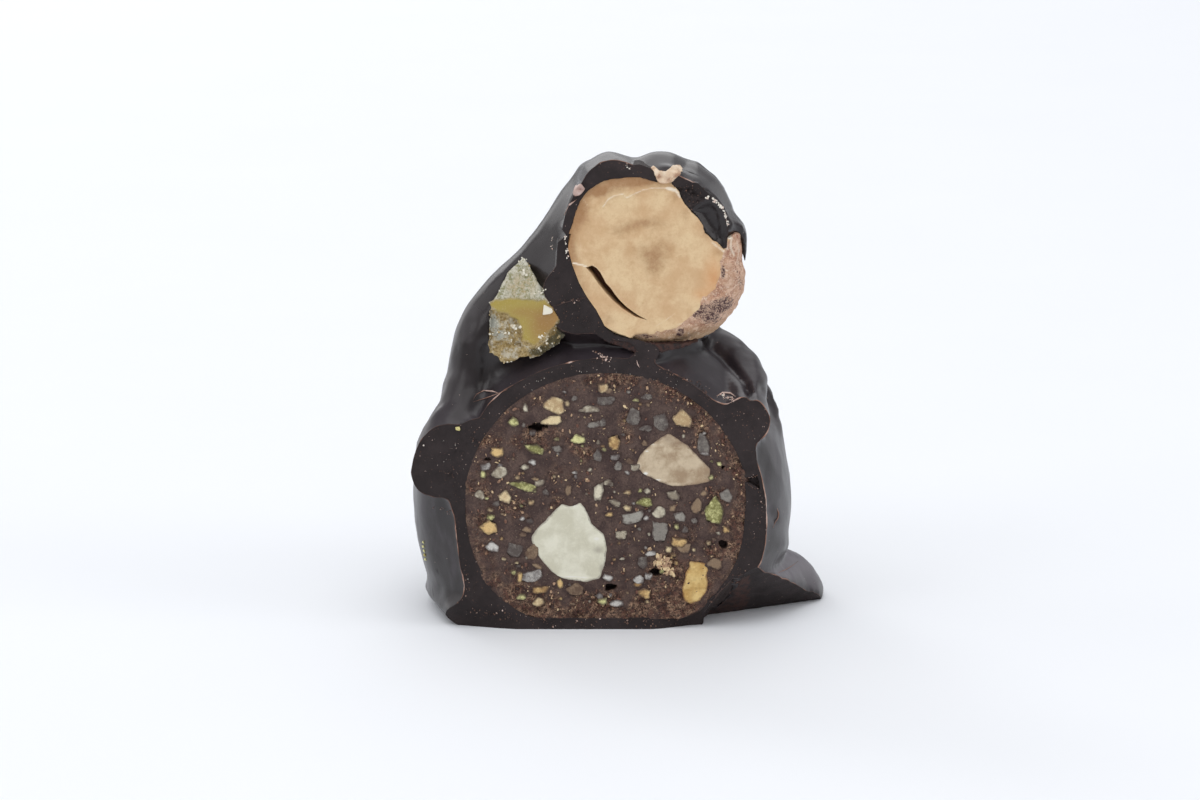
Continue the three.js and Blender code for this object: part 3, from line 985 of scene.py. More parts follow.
# How bright the knife's edge is: dark all over but for these places.
BRIGHT = (
    (9.6, 18.6, 1.0, 0.7, 1.1), (11.5, 17.5, 1.2, 0.8, 0.85), (12.5, 16.1, 0.6, 1.0, 0.6),
    (5.5, 20.3, 2.0, 0.8, 0.25), (1.0, 36.9, 2.0, 0.8, 0.35), (5.8, 35.3, 1.8, 0.7, 0.9),
    (-2.6, 33.7, 0.9, 1.2, 0.5), (-3.9, 30.8, 0.6, 0.8, 0.5), (11.3, 12.6, 1.2, 0.6, 0.5),
    (12.5, 10.0, 0.6, 2.2, 0.85), (12.1, 6.4, 0.7, 1.6, 0.7), (-11.5, 7.5, 0.6, 2.4, 0.5),
    (-10.7, 3.6, 0.6, 1.2, 0.8), (-12.8, 9.8, 0.9, 0.5, 0.5), (-8.6, 18.8, 1.4, 0.7, 0.8),
    (14.5, 3.5, 1.5, 1.2, 0.35), (13.5, 8.9, 0.5, 0.9, 0.6), (14.8, 4.8, 0.9, 0.4, 0.35),
    (-2.3, 33.4, 1.0, 1.0, 0.4), (2.7, 21.2, 0.3, 0.5, 1.2), (-2.5, 21.2, 0.3, 0.4, 0.8),
)
# Thin shavings that the knife left, lines as seen() gives them.
SHAVINGS = (
    ((-10.1, 18.2), (-9.1, 18.5), (-8.0, 18.9), (-7.4, 19.2)),
    ((-10.1, 18.35), (-9.85, 18.8), (-9.3, 19.1), (-8.6, 19.05), (-8.1, 18.9)),
    ((2.6, 21.5), (2.65, 21.25), (2.8, 20.95)),
    ((-2.65, 21.4), (-2.4, 21.0)),
    ((-3.65, 25.7), (-3.15, 26.0), (-2.55, 26.15), (-1.85, 26.3), (-1.3, 26.4)),
    ((-3.9, 25.75), (-3.3, 25.9), (-2.3, 26.2), (-1.5, 26.45)),
    ((-2.0, 34.1), (-2.55, 33.7), (-3.0, 32.9)),
    ((8.8, 18.65), (9.3, 18.95), (9.9, 18.9), (10.3, 18.6)),
    ((9.3, 18.4), (9.7, 18.6), (10.2, 18.4)),
    ((10.5, 12.3), (10.8, 12.15), (11.2, 12.1), (11.6, 12.2), (12.0, 12.38)),
    ((13.6, 9.7), (13.72, 9.3), (13.67, 8.9), (13.4, 8.5), (13.25, 8.15)),
    ((13.8, 4.45), (14.4, 4.6), (15.0, 4.85), (15.6, 5.2)),
)


def bubbles():
    """Small pits of the cut chocolate, (x, z, radius)."""
    chance = random.Random(SEED + 5)
    pits = [(-11.8, 12.4, 0.3), (-12.6, 14.0, 0.22), (-10.9, 14.2, 0.2), (12.2, 15.0, 0.2)]
    for _ in range(56):
        x, z = chance.uniform(-14.5, 12.7), chance.uniform(0.5, 33)
        pits.append((x, z, chance.uniform(0.1, 0.2)))
    return pits


PITS = bubbles()


def cut_relief(x, z):
    """How far the chocolate's cut lies behind the knife's plane."""
    point = place(x, 0, z)
    drag = lumps(Vector((point.x, 0, point.z * 0.4)), 0.8, 3.0)
    rough = spots(ROUGH, x, z)
    depth = 0.06 + 0.03 * drag + 0.025 * lumps(point, 0.35, 8.0)
    depth += rough * (1 + 1.2 * lumps(point, 0.5, 2.0) + 0.8 * lumps(point, 0.25, 6.0))
    for pit_x, pit_z, radius in PITS:
        if abs(x - pit_x) < radius and abs(z - pit_z) < radius:
            off = math.hypot(x - pit_x, z - pit_z) / radius
            depth += 0.12 * max(0.0, 1 - off * off)
    out = math.hypot(x - NUT[0], z - NUT[2])
    if out < 7.9:
        depth += 0.6 * within(FLESH, x, z, 0.15)
    if x > 5 and z > 30:
        depth += 0.55 * smooth_step(within(DISH, x, z, 0.9), 0, 1)
        grain = 0.5 + lumps(point, 0.28, 4.0) + 0.6 * lumps(point, 0.14, 5.0)
        depth += within(GRAINY, x, z, 0.3) * 0.3 * max(0.0, grain)
    if z < 3:
        left, right = smooth_step(-x, 6.0, 13.0), smooth_step(x, 3.5, 7.85)
        depth += (1.5 * left + 1.4 * right) * (1 - smooth_step(z, 0.1, 2.6))
    return max(0.02, depth)


class TRUFFLE_OT_coat(bpy.types.Operator):
    """Builds the dark chocolate round the filling and the nut"""

    bl_idname = "truffle.coat"
    bl_label = "Coat"

    def execute(self, context):
        look = context.scene.truffle_chocolate
        materials = [chocolate_skin(look), chocolate_cut(look), chocolate_torn(look)]
        skin, cut, torn = range(3)
        coat = copy_of("coat")
        edit(coat, lambda face: face.normal.y < -0.99 and behind(face.center) < 0.02)
        bpy.ops.mesh.extrude_region_move(TRANSFORM_OT_translate={"value": (0, -2 * MM, 0)})
        done()
        cover = nut_ball(NUT_RADIUS + COVER, 5)
        for vertex in cover.data.vertices:
            vertex.co.y = max(vertex.co.y, KNIFE + COVER_FRONT * MM)
            vertex.co.z = max(vertex.co.z, COVER_FLOOR * MM)
        beds = [copy_of(f"nut_chip_{side}") for side in CHIPS]
        join(coat, cover, hull(PUDDLE, 0.1), hull(FLANK, 0.05), *beds)
        remesh(coat, look.cell / MM, SKIN_ROUNDING)
        modify(coat, "DISPLACE", strength=0.05 * MM, mid_level=0)
        press(coat, FOLDS)
        tuck(coat, *FOOT)
        waves(coat, *SKIN_WAVES)
        modify(coat, "DECIMATE", ratio=0.4)
        dress(coat, materials)
        for outline in (PLUG, *LAPS):
            combine(coat, plate(outline, -1, LAP_DEPTH), "UNION", cut)
        combine(coat, hull(BROKEN_FOOT), "DIFFERENCE", cut)
        combine(coat, plate(TEAR, -3, TEAR_DEPTH), "DIFFERENCE", cut)
        combine(coat, knife_block(*COAT_CUT, cut_relief), "INTERSECT", cut)
        for face in coat.data.polygons:
            x, z = flat(face.center)
            if face.material_index and x > 6 and z > 30 and inside(DISH, x, z):
                face.material_index = skin
            elif face.material_index and 8 < x < 11.5 and z < 4 and behind(face.center) > 1:
                face.material_index = torn
        # How far each point faces up; the skin paints its sheen by it.
        keep_marks(coat, up=lambda vertex: max(0.0, vertex.normal.z))
        finish(coat, "coat", "chocolate", materials, 45)
        lines = self.edges(coat)
        bpy.context.view_layer.update()
        for line in SHAVINGS:
            found = filter(None, [skin_point(coat, x, z) for x, z in line])
            lines.append([point + facing * 0.02 * MM for point, facing in found])
        burr = strand(lines, self.thickness)
        keep_marks(burr, shade=lambda v: self.brightness(v.co) + 0.3 * lumps(v.co, 0.6))
        finish(burr, "coat", "burr", [chocolate_burr(look)], 60)
        return {"FINISHED"}

    def edges(self, coat):
        """The lines where the skin meets the cut on the outside, as the knife left them."""
        sides = {}
        for face in coat.data.polygons:
            for edge in face.edge_keys:
                sides.setdefault(edge, []).append(face)
        steps = {}
        points = coat.data.vertices
        for (a, b), faces in sides.items():
            middle = (points[a].co + points[b].co) / 2
            skins = [face for face in faces if not face.material_index]
            x, z = flat(middle)
            if len(faces) != 2 or len(skins) != 1 or z <= 0.4 or inside(DISH, x, z):
                continue
            broken = x > 11 and z < 7
            if behind(middle) <= (9 if broken else 0.3) and not self.in_hollow(x, z, skins[0]):
                steps.setdefault(a, []).append(b)
                steps.setdefault(b, []).append(a)
        lines = []
        while steps:
            line = [next((p for p in steps if len(steps[p]) == 1), next(iter(steps)))]
            while steps.get(line[-1]):
                here = line[-1]
                line.append(steps[here].pop())
                if here in steps.get(line[-1], ()):
                    steps[line[-1]].remove(here)
                for point in (here, line[-1]):
                    if not steps.get(point, True):
                        del steps[point]
            if len(line) > 8:
                lines.append([points[p].co + Vector((0, -0.01 * MM, 0)) for p in line[::2]])
        return lines

    def in_hollow(self, x, z, face):
        """Whether a face of the skin at a place looks at the filling or the nut."""
        for middle_x, middle_z, reach in ((*FILLING, 12.5), (NUT[0], NUT[2], 7.2)):
            inward = face.normal.x * (x - middle_x) + face.normal.z * (z - middle_z) < 0
            if inward and math.hypot(x - middle_x, z - middle_z) < reach:
                return True
        return False

    def brightness(self, point):
        """How pale the burr is at a point."""
        return 0.15 + spots(BRIGHT, *flat(point))

    def thickness(self, point):
        """How thick the burr is at a point, in millimetres."""
        full = 0.018 + 0.03 * min(1.0, self.brightness(point))
        return full * max(0.3, 1 + 1.3 * lumps(Vector(point), 0.5, 4.0))


class TRUFFLE_OT_crumbs(bpy.types.Operator):
    """Strews crumbs of chocolate and nut on the cut and hangs the torn fin under the nut"""

    bl_idname = "truffle.crumbs"
    bl_label = "Crumbs on the coat"

    def execute(self, context):
        look = context.scene.truffle_chocolate
        fin = plate(FIN, *FIN_DEPTHS)
        remesh(fin, 0.12, 2)
        waves(fin, *FIN_WAVES)
        finish(fin, "coat", "fin", [chocolate_torn(look)])
        coat = bpy.data.objects["coat_chocolate"]
        context.view_layer.update()
        chance = random.Random(SEED + 60)
        models = [pebble(70 + n, detail=2, cut=0.6) for n in range(3)]
        places = []
        for line, count, spread, size, shade in CRUMB_ROWS:
            for _ in range(count):
                (ax, az), (bx, bz) = chance.choice(list(zip(line, line[1:])))
                along = chance.random()
                x = ax + along * (bx - ax) + chance.gauss(0, spread)
                z = az + along * (bz - az) + chance.gauss(0, spread)
                long = size * chance.uniform(0.4, 1.3)
                sizes = (long, long * chance.uniform(0.4, 0.9), long * chance.uniform(0.3, 0.9))
                turn = any_turn(chance)
                tone = min(1.0, max(0.0, shade + chance.gauss(0, 0.15)))
                under = skin_point(coat, x, z)
                if under:
                    places.append((chance.randrange(3), under[0], turn, sizes, tone))
        crumbs = scatter(models, places, KNIFE - 0.12 * MM)
        tones = look.cut_light, look.crumb, look.burr, screen(238, 232, 220)
        finish(crumbs, "coat", "crumbs", [crumb_surface("coat crumbs", *tones)])
        places = []
        for x, z, size in FLAKES:
            under = skin_point(coat, x, z)
            if under:
                turn = [chance.uniform(-0.4, 0.4) for _ in range(3)]
                places.append((0, under[0], turn, (size, 0.6 * size, size), chance.random()))
        flakes = scatter([pebble(76, sides=4)], places, KNIFE - 0.2 * MM)
        tones = screen(196, 182, 112), screen(236, 232, 170)
        finish(flakes, "coat", "flakes", [crumb_surface("yellow flakes", *tones)])
        return {"FINISHED"}


# The torn fin under the nut: from where to where behind the cut, its waves and its outline.
FIN_DEPTHS = (0.16, 1.2)
FIN_WAVES = ((0.5, 0.22), (0.25, 0.1))
FIN = (
    (-0.89, 24.77), (0.19, 23.59), (1.27, 23.15), (2.94, 22.86), (4.7, 22.76), (5.98, 22.76),
    (7.55, 23.01), (6.47, 22.52), (5.39, 22.27), (3.82, 21.88), (2.7, 21.64), (2.4, 22.03),
    (1.57, 22.42), (0.29, 22.91), (-0.49, 23.5), (-1.18, 24.28),
)
# Rows of crumbs on the coat: a line, their number, spread, size and brightness.
CRUMB_ROWS = (
    (((7.9, 34.2), (8.3, 34.25), (8.65, 33.95), (9.05, 33.5), (9.3, 33.2), (9.4, 32.8)),
     34, 0.05, 0.11, 0.95),
    (((9.4, 32.8), (9.6, 32.4), (9.6, 32.0)), 9, 0.04, 0.09, 0.9),
    (((-2.85, 31.3), (-2.95, 30.8), (-2.85, 30.2), (-2.7, 29.6)), 16, 0.05, 0.08, 0.9),
    (((-3.85, 31.3), (-4.0, 30.7), (-3.95, 30.1)), 12, 0.06, 0.08, 0.75),
    (((8.9, 18.7), (9.6, 18.6), (10.1, 18.4)), 22, 0.10, 0.10, 0.75),
    (((-0.7, 22.1), (0.0, 21.8), (0.7, 21.5)), 26, 0.12, 0.11, 0.5),
    (((3.3, 21.1), (5.4, 20.4), (7.5, 19.5), (8.2, 18.4)), 90, 0.12, 0.07, 0.12),
    (((-4.0, 20.6), (-0.5, 21.5), (3.0, 21.2)), 30, 0.10, 0.05, 0.12),
    (((-12.6, 12.6), (-11.6, 12.8), (-11.3, 11.4), (-11.0, 10.2)), 50, 0.25, 0.05, 0.2),
    (((-13.4, 9.8), (-12.3, 9.7), (-11.9, 9.3)), 16, 0.08, 0.06, 0.3),
    (((-10.8, 5.0), (-10.5, 3.2), (-11.4, 2.0)), 26, 0.12, 0.06, 0.25),
    (((-10.5, 16.3), (-9.8, 15.4), (-9.6, 14.6)), 34, 0.25, 0.07, 0.15),
    (((-10.5, 1.6), (-4.0, 0.6), (7.0, 0.5)), 150, 0.25, 0.08, 0.2),
    (((8.5, 2.5), (10.0, 3.5), (11.0, 4.6)), 60, 0.25, 0.08, 0.15),
    (((10.4, 12.3), (11.2, 12.1), (11.9, 12.35)), 26, 0.06, 0.07, 0.55),
    (((10.9, 11.8), (11.9, 11.4), (12.4, 10.6), (12.3, 8.5)), 30, 0.06, 0.05, 0.35),
    (((9.5, 16.5), (10.6, 17.2), (11.6, 16.0), (11.4, 14.9)), 50, 0.45, 0.045, 0.3),
    (((-3.2, 26.0), (-1.5, 26.3)), 20, 0.12, 0.06, 0.35),
    (((-3.0, 25.2), (-0.5, 24.4)), 50, 0.35, 0.055, 0.12),
    (((5.6, 34.8), (6.6, 34.9), (7.6, 34.4), (6.8, 33.6)), 60, 0.22, 0.07, 0.15),
    (((5.0, 34.95), (5.6, 34.9)), 10, 0.08, 0.09, 0.9),
    (((-14.0, 12.0), (-11.5, 15.5), (-10.5, 13.0)), 36, 0.9, 0.03, 0.7),
    (((-6.0, 19.6), (0.0, 20.9), (6.0, 19.6)), 24, 0.25, 0.03, 0.8),
    (((1.8, 36.9), (1.85, 36.6), (2.1, 36.4)), 12, 0.05, 0.06, 0.85),
    (((-13.95, 14.75), (-13.9, 14.7)), 2, 0.02, 0.10, 1.0),
)
# Flakes of yellow nut that stick to the coat: x, z and size.
FLAKES = (
    (-11.25, 16.1, 0.2), (-14.15, 6.9, 0.12), (-14.15, 6.55, 0.14), (-14.1, 6.2, 0.12),
    (-14.05, 5.85, 0.14), (-14.0, 5.5, 0.12),
)


# ---- the filling ----


FILLING_CUT = ((-13.6, 0.5), (13.9, 22.8))  # the corners of the filling's cut face
FILLING_SWELL = 0.14  # how far it grows into the coat
FILLING_WAVE = (1.2, 0.25)
CHUNK_BED = 0.35  # how much larger than a chunk the filling round it is
MORE_BITS = 16  # small bits of each kind besides those in BITS
CRUMBS = 1300
# A heap of crumbs on the cut face: its middle, its spread along and across, and their number.
HEAP = (4.75, 5.25)
HEAP_SPREAD = (0.38, 0.28)
HEAP_CRUMBS = 70
# Holes of the filling: (x, z, half width, half height, depth).
PORES = (
    (-5.1, 16.15, 0.62, 0.36, 0.9), (0.55, 3.35, 0.45, 0.33, 1.0), (9.4, 6.8, 0.36, 0.36, 0.7),
    (4.1, 4.6, 0.5, 0.3, 0.7), (9.3, 13.0, 0.12, 0.12, 0.5), (-9.0, 13.6, 0.3, 0.15, 0.4),
    (7.4, 15.0, 0.14, 0.1, 0.3),
)
# Torn places of the filling's cut: (x, z, half width, half height, strength).
TORN = (
    (-5.2, 15.4, 2.2, 0.9, 0.9), (-9.6, 15.2, 1.1, 0.8, 0.9), (7.6, 16.6, 1.6, 1.9, 0.7),
    (0.0, 1.6, 8.5, 1.2, 1.1), (7.0, 3.6, 3.0, 2.4, 0.9), (-9.4, 8.6, 0.9, 3.8, 0.6),
    (-2.9, 12.6, 1.8, 1.0, 0.45), (9.0, 9.5, 1.0, 3.2, 0.55), (-3.2, 10.0, 0.9, 0.6, 0.7),
    (-7.6, 3.4, 1.8, 1.4, 0.8), (4.7, 5.1, 1.1, 1.0, 1.0), (-1.6, 14.2, 1.8, 0.5, 0.5),
    (1.8, 16.0, 0.9, 1.6, 0.5), (6.5, 7.6, 1.2, 0.9, 0.5), (-6.8, 9.8, 1.2, 1.2, 0.4),
    (0.5, 20.1, 4.0, 0.5, 0.7),
)


def from_middle(x, z):
    """How far out a point lies on the filling's cut face: 0 in the middle and 1 at the rim."""
    return math.hypot((x - FILLING[0]) / FILLING_RADII[0], (z - FILLING[1]) / FILLING_RADII[1])


def tornness(x, z):
    """0 where the knife smeared the paste flat, 1 where it tore it to crumb."""
    out = from_middle(x, z) + 0.08 * lumps(place(x, 0, z), 1.6, 4.0)
    rim = smooth_step(out, 0.86, 0.98)
    rim *= 0.25 + 0.4 * smooth_step(-z, -4.5, -1.5) + 0.35 * smooth_step(x + 0.4 * z, 11, 15)
    patches = 0.6 + 0.9 * lumps(place(x, 0, z), 1.2, 11.0)
    return min(1.0, max(rim * (patches + 0.3), spots(TORN, x, z) * max(0.0, patches)))


def pore_depth(x, z):
    """How deep a hole of the filling is at a point."""
    depth = 0.0
    for px, pz, wide, high, deep in PORES:
        if abs(x - px) < 2 * wide and abs(z - pz) < 2 * high:
            out = math.hypot((x - px) / wide, (z - pz) / high)
            out += 0.5 * lumps(place(x, 0, z), 0.35, px)
            depth = max(depth, deep * (1 - smooth_step(out, 0.65, 1.05)))
    return depth


def paste_relief(x, z):
    """How far the filling's cut face lies behind the knife's plane."""
    point = place(x, 0, z)
    torn = tornness(x, z)
    smear = 0.06 + 0.03 * lumps(point, 1.5, 1.0)
    crumb = 0.08 + 0.5 * abs(lumps(point, 0.7, 2.0)) + 0.2 * lumps(point, 0.3, 5.0)
    return max(0.02, smear + torn * max(-0.03, crumb)) + pore_depth(x, z)


# The bits that lie in the cut: (x, z, width, height) in millimetres.
BITS = {
    "cream": (
        (-3.8, 17.9, 1.3, 1.4), (-4.0, 16.7, 1.3, 0.75), (6.2, 16.8, 1.3, 1.4),
        (-7.6, 10.6, 0.9, 1.0), (-5.0, 2.2, 0.9, 0.6), (-5.6, 10.2, 0.5, 0.5),
        (0.0, 19.3, 0.8, 0.8), (1.9, 11.0, 0.5, 0.4),
    ),
    "pale": (
        (-1.0, 17.6, 1.4, 0.6), (-8.0, 12.6, 1.2, 0.8), (-9.6, 10.8, 0.6, 0.8),
        (-0.4, 11.1, 0.9, 1.7), (5.4, 10.8, 1.2, 0.9), (1.4, 7.6, 0.9, 0.8),
        (-6.0, 17.7, 0.35, 0.7), (2.5, 13.0, 0.7, 0.6), (4.4, 9.4, 1.0, 0.8),
    ),
    "amber": (
        (0.8, 15.0, 1.1, 1.4), (-8.2, 14.2, 1.2, 0.8), (-9.0, 8.2, 1.5, 1.3),
        (-4.9, 3.2, 1.3, 0.6), (-6.5, 4.2, 0.4, 0.9), (-3.4, 3.7, 0.6, 0.9),
        (3.2, 2.9, 0.8, 0.8), (9.6, 8.0, 0.5, 0.6), (5.9, 7.0, 1.2, 0.8),
    ),
    "green": (
        (-1.9, 15.2, 1.0, 0.8), (-7.0, 16.6, 0.9, 0.9), (-5.4, 14.5, 1.7, 0.9),
        (-6.2, 11.5, 1.7, 0.7), (3.2, 10.2, 1.0, 0.8), (8.7, 9.4, 1.3, 2.2),
        (-6.4, 2.6, 0.6, 0.5), (9.0, 13.3, 0.5, 0.4), (8.4, 12.2, 0.4, 0.35),
    ),
    "grey": (
        (2.4, 17.0, 1.1, 1.1), (4.5, 16.6, 1.3, 1.4), (7.8, 14.8, 0.9, 1.4),
        (-3.6, 14.5, 0.9, 0.6), (-0.4, 13.9, 0.6, 1.0), (1.2, 13.1, 0.6, 0.6),
        (5.9, 9.1, 1.1, 0.9), (9.6, 10.7, 0.9, 1.0), (2.3, 9.0, 1.7, 1.0),
        (4.4, 7.9, 1.2, 1.8), (-6.9, 6.4, 1.2, 1.2), (3.1, 5.4, 0.9, 1.0),
        (6.4, 8.0, 0.5, 0.5), (3.4, 18.6, 0.8, 0.4), (3.3, 16.1, 0.8, 0.5),
        (0.2, 18.3, 1.4, 0.8), (-0.7, 16.4, 1.2, 0.5),
    ),
    "white": (
        (-8.6, 6.6, 0.9, 0.8), (-5.5, 4.3, 1.9, 0.9), (-0.3, 2.7, 0.6, 0.6),
        (1.1, 2.1, 1.0, 0.45), (7.9, 14.1, 0.7, 0.25), (-5.5, 13.4, 0.5, 0.5),
        (-8.0, 13.2, 0.35, 0.3),
    ),
    "tan": (
        (-5.5, 6.2, 1.0, 1.0), (8.7, 5.3, 0.9, 0.9), (-2.1, 3.2, 1.3, 0.8),
        (6.3, 6.6, 1.2, 0.9), (7.3, 9.9, 0.8, 1.0), (-5.9, 8.0, 0.7, 0.5),
        (-2.7, 11.2, 0.6, 0.9),
    ),
}
# The light and dark colour of each kind, how much paste films it and how glossy it is.
BIT_COLOURS = {
    "cream": ((232, 210, 166), (192, 162, 120), 0.1, 0.6),
    "pale": ((224, 216, 192), (160, 148, 128), 0.25, 0.6),
    "amber": ((232, 196, 134), (172, 134, 84), 0.15, 0.6),
    "green": ((228, 224, 158), (130, 128, 70), 0.12, 0.5),
    "grey": ((170, 166, 156), (98, 93, 88), 0.5, 0.9),
    "white": ((222, 219, 212), (144, 140, 136), 0.3, 0.9),
    "tan": ((176, 150, 118), (116, 90, 68), 0.5, 0.5),
}

CHUNK_CELL = 0.11
# The three large chunks: outline of the cut, light, dark and edge colours, grain and its depth,
# places that catch the light, and dull ones, each (x, z, half width, half height, strength).
CHUNKS = {
    "white": (
        (
            (-3.2, 10.05), (-2.45, 9.85), (-1.75, 10.2), (-1.2, 9.35), (-0.85, 8.45), (0.1, 7.6),
            (0.3, 6.4), (0.1, 5.15), (-0.3, 4.15), (-1.25, 3.85), (-2.35, 3.95), (-3.2, 4.15),
            (-3.95, 4.65), (-4.65, 5.4), (-5.3, 6.3), (-5.6, 7.5), (-5.05, 8.2), (-4.35, 8.9),
            (-3.75, 9.6),
        ),
        (230, 227, 208), (208, 204, 182), (150, 142, 128), 0.5, 0.05,
        (
            (-0.5, 7.3, 0.5, 0.3, 0.9), (-2.2, 9.9, 0.4, 0.25, 0.8), (-2.6, 4.25, 0.9, 0.12, 1.0),
            (-1.4, 4.2, 0.6, 0.1, 0.9), (-4.9, 5.9, 0.15, 0.5, 0.5),
        ),
        ((-0.35, 6.4, 0.5, 0.35, 0.7), (-0.1, 4.9, 0.25, 0.5, 0.7), (-2.4, 4.7, 1.2, 0.3, 0.25)),
    ),
    "tan": (
        (
            (2.6, 13.3), (2.9, 13.95), (3.4, 14.5), (4.0, 15.0), (5.0, 15.7), (5.55, 15.4),
            (6.6, 14.75), (7.7, 13.5), (8.35, 12.85), (8.3, 11.9), (7.15, 11.6), (5.45, 11.5),
            (4.4, 11.85), (3.3, 12.4), (2.75, 12.9),
        ),
        (208, 190, 162), (166, 142, 114), (124, 102, 84), 0.3, 0.04,
        (
            (3.4, 14.3, 0.3, 0.12, 1.0), (3.9, 14.8, 0.25, 0.12, 0.9), (4.5, 14.8, 0.2, 0.1, 0.8),
            (4.8, 14.45, 0.1, 0.2, 0.6), (2.75, 13.1, 0.15, 0.3, 1.0), (3.3, 12.5, 0.3, 0.2, 0.9),
            (4.3, 12.0, 0.5, 0.13, 0.9), (5.5, 11.65, 0.7, 0.1, 0.7), (4.2, 13.0, 1.6, 0.9, 0.3),
        ),
        ((6.0, 14.9, 1.2, 0.5, 0.45), (5.0, 15.4, 0.5, 0.4, 0.5), (8.1, 12.5, 0.4, 0.7, 0.45)),
    ),
    "yellow": (
        (
            (6.8, 5.4), (7.6, 5.45), (8.2, 5.0), (8.0, 4.3), (8.25, 3.55), (8.05, 3.0), (7.6, 2.4),
            (6.9, 2.0), (6.3, 2.25), (6.2, 3.3), (6.45, 4.4),
        ),
        (236, 206, 140), (200, 160, 92), (140, 96, 60), 0.24, 0.14,
        (), ((7.9, 2.9, 0.3, 0.5, 0.3), (6.4, 2.4, 0.3, 0.3, 0.3)),
    ),
}


def free_of_chunks(x, z, gap=0.4):
    """Whether a point on the cut is clear of the three large chunks."""
    return not any(
        inside(outline, x + dx, z + dz)
        for outline, *_ in CHUNKS.values()
        for dx, dz in ((0, 0), (gap, 0), (-gap, 0), (0, gap), (0, -gap))
    )


class TRUFFLE_OT_filling(bpy.types.Operator):
    """Builds the ball of nut ganache with its crumbly cut face"""

    bl_idname = "truffle.filling"
    bl_label = "Filling"

    def execute(self, context):
        look = context.scene.truffle_filling
        filling = grow(copy_of("ganache"), FILLING_SWELL)
        waves(filling, FILLING_WAVE)
        for kind in CHUNKS:
            combine(filling, grow(copy_of(f"nut_chunk_{kind}"), CHUNK_BED), "UNION")
        block = knife_block(*FILLING_CUT, look.cell / MM, paste_relief)
        combine(filling, block, "INTERSECT")
        keep_marks(filling, torn=on_cut(tornness), depth=on_cut(pore_depth))
        finish(filling, "ganache", "paste", [filling_paste(look)], 60)
        return {"FINISHED"}


class TRUFFLE_OT_bits(bpy.types.Operator):
    """Sets the small bits of nut and seed into the filling's cut face"""

    bl_idname = "truffle.bits"
    bl_label = "Nut bits"

    def execute(self, context):
        look = context.scene.truffle_filling
        chance = random.Random(SEED)
        taken = [row for rows in BITS.values() for row in rows]
        for kind, rows in BITS.items():
            rows = list(rows)
            for _ in range(MORE_BITS):
                x, z = self.somewhere(chance, taken)
                size = 0.2 + 0.4 * chance.random() ** 2
                rows.append((x, z, size * chance.uniform(0.8, 1.6), size))
                taken.append(rows[-1])
            models = [pebble(SEED + n) for n in range(6)]
            places = []
            for x, z, width, height in rows:
                deep = 0.45 * min(width, height)
                sunk = chance.uniform(0.25, 0.6) * deep if width < 0.7 else 0.25 * deep
                size = (0.58 * width, deep, 0.58 * height)
                turn = (0, chance.uniform(-0.35, 0.35), 0)
                spot = place(x, sunk, z)
                places.append((chance.randrange(6), spot, turn, size, chance.random()))
            bits = scatter(models, places)
            keep_marks(bits, rim=rim_distance(bits))
            light, dark, film, gloss = BIT_COLOURS[kind]
            traits = screen(*light), screen(*dark), film, gloss, look.paste
            finish(bits, "ganache", f"bits_{kind}", [bit_flesh(f"bits {kind}", *traits)])
        self.crumbs(look, taken)
        return {"FINISHED"}

    def somewhere(self, chance, taken, rim=0.92):
        """A place on the cut face that nothing else takes."""
        while True:
            x = FILLING[0] + FILLING_RADII[0] * chance.uniform(-1, 1)
            z = FILLING[1] + FILLING_RADII[1] * chance.uniform(-1, 1)
            if from_middle(x, z) > rim or not free_of_chunks(x, z) or pore_depth(x, z):
                continue
            if all(math.hypot((x - t[0]) / t[2], (z - t[1]) / t[3]) > 0.62 for t in taken):
                return x, z

    def crumbs(self, look, taken):
        """Strews crumbs of paste and ground nut, thickest where the cut face is torn."""
        chance = random.Random(SEED + 10)
        models = [pebble(30 + n, detail=2, cut=0.6) for n in range(4)]
        places = []
        while len(places) < CRUMBS:
            x, z = self.somewhere(chance, taken, 1.0)
            torn = tornness(x, z)
            clump = 0.5 + 1.5 * lumps(place(x, 0, z), 0.9, 21.0)
            if chance.random() > (0.10 + torn) * clump:
                continue
            long = 0.05 + 0.15 * chance.random() ** 2.5
            sizes = (long, 0.5 * long, long * chance.uniform(0.2, 0.6))
            turn = any_turn(chance)
            spot = place(x, paste_relief(x, z) - 0.3 * long, z)
            tone = chance.gauss(0.32, 0.3) + (0.12 if torn < 0.2 else 0.0)
            places.append((chance.randrange(4), spot, turn, sizes, min(1.0, max(0.0, tone))))
        along, across = HEAP_SPREAD
        for _ in range(HEAP_CRUMBS):
            x = chance.gauss(HEAP[0], along)
            z = HEAP[1] - (x - HEAP[0]) + chance.gauss(0, across)
            long = chance.uniform(0.1, 0.3)
            turn = any_turn(chance)
            tone = chance.uniform(0.55, 1.0)
            sizes = (long, 0.5 * long, 0.4 * long)
            places.append((chance.randrange(4), place(x, 0.02, z), turn, sizes, tone))
        crumbs = scatter(models, places, KNIFE - 0.08 * MM)
        tones = look.paste, look.crumb_red, look.crumb_gold, look.crumb_pale
        finish(crumbs, "ganache", "crumbs", [crumb_surface("filling crumbs", *tones)])


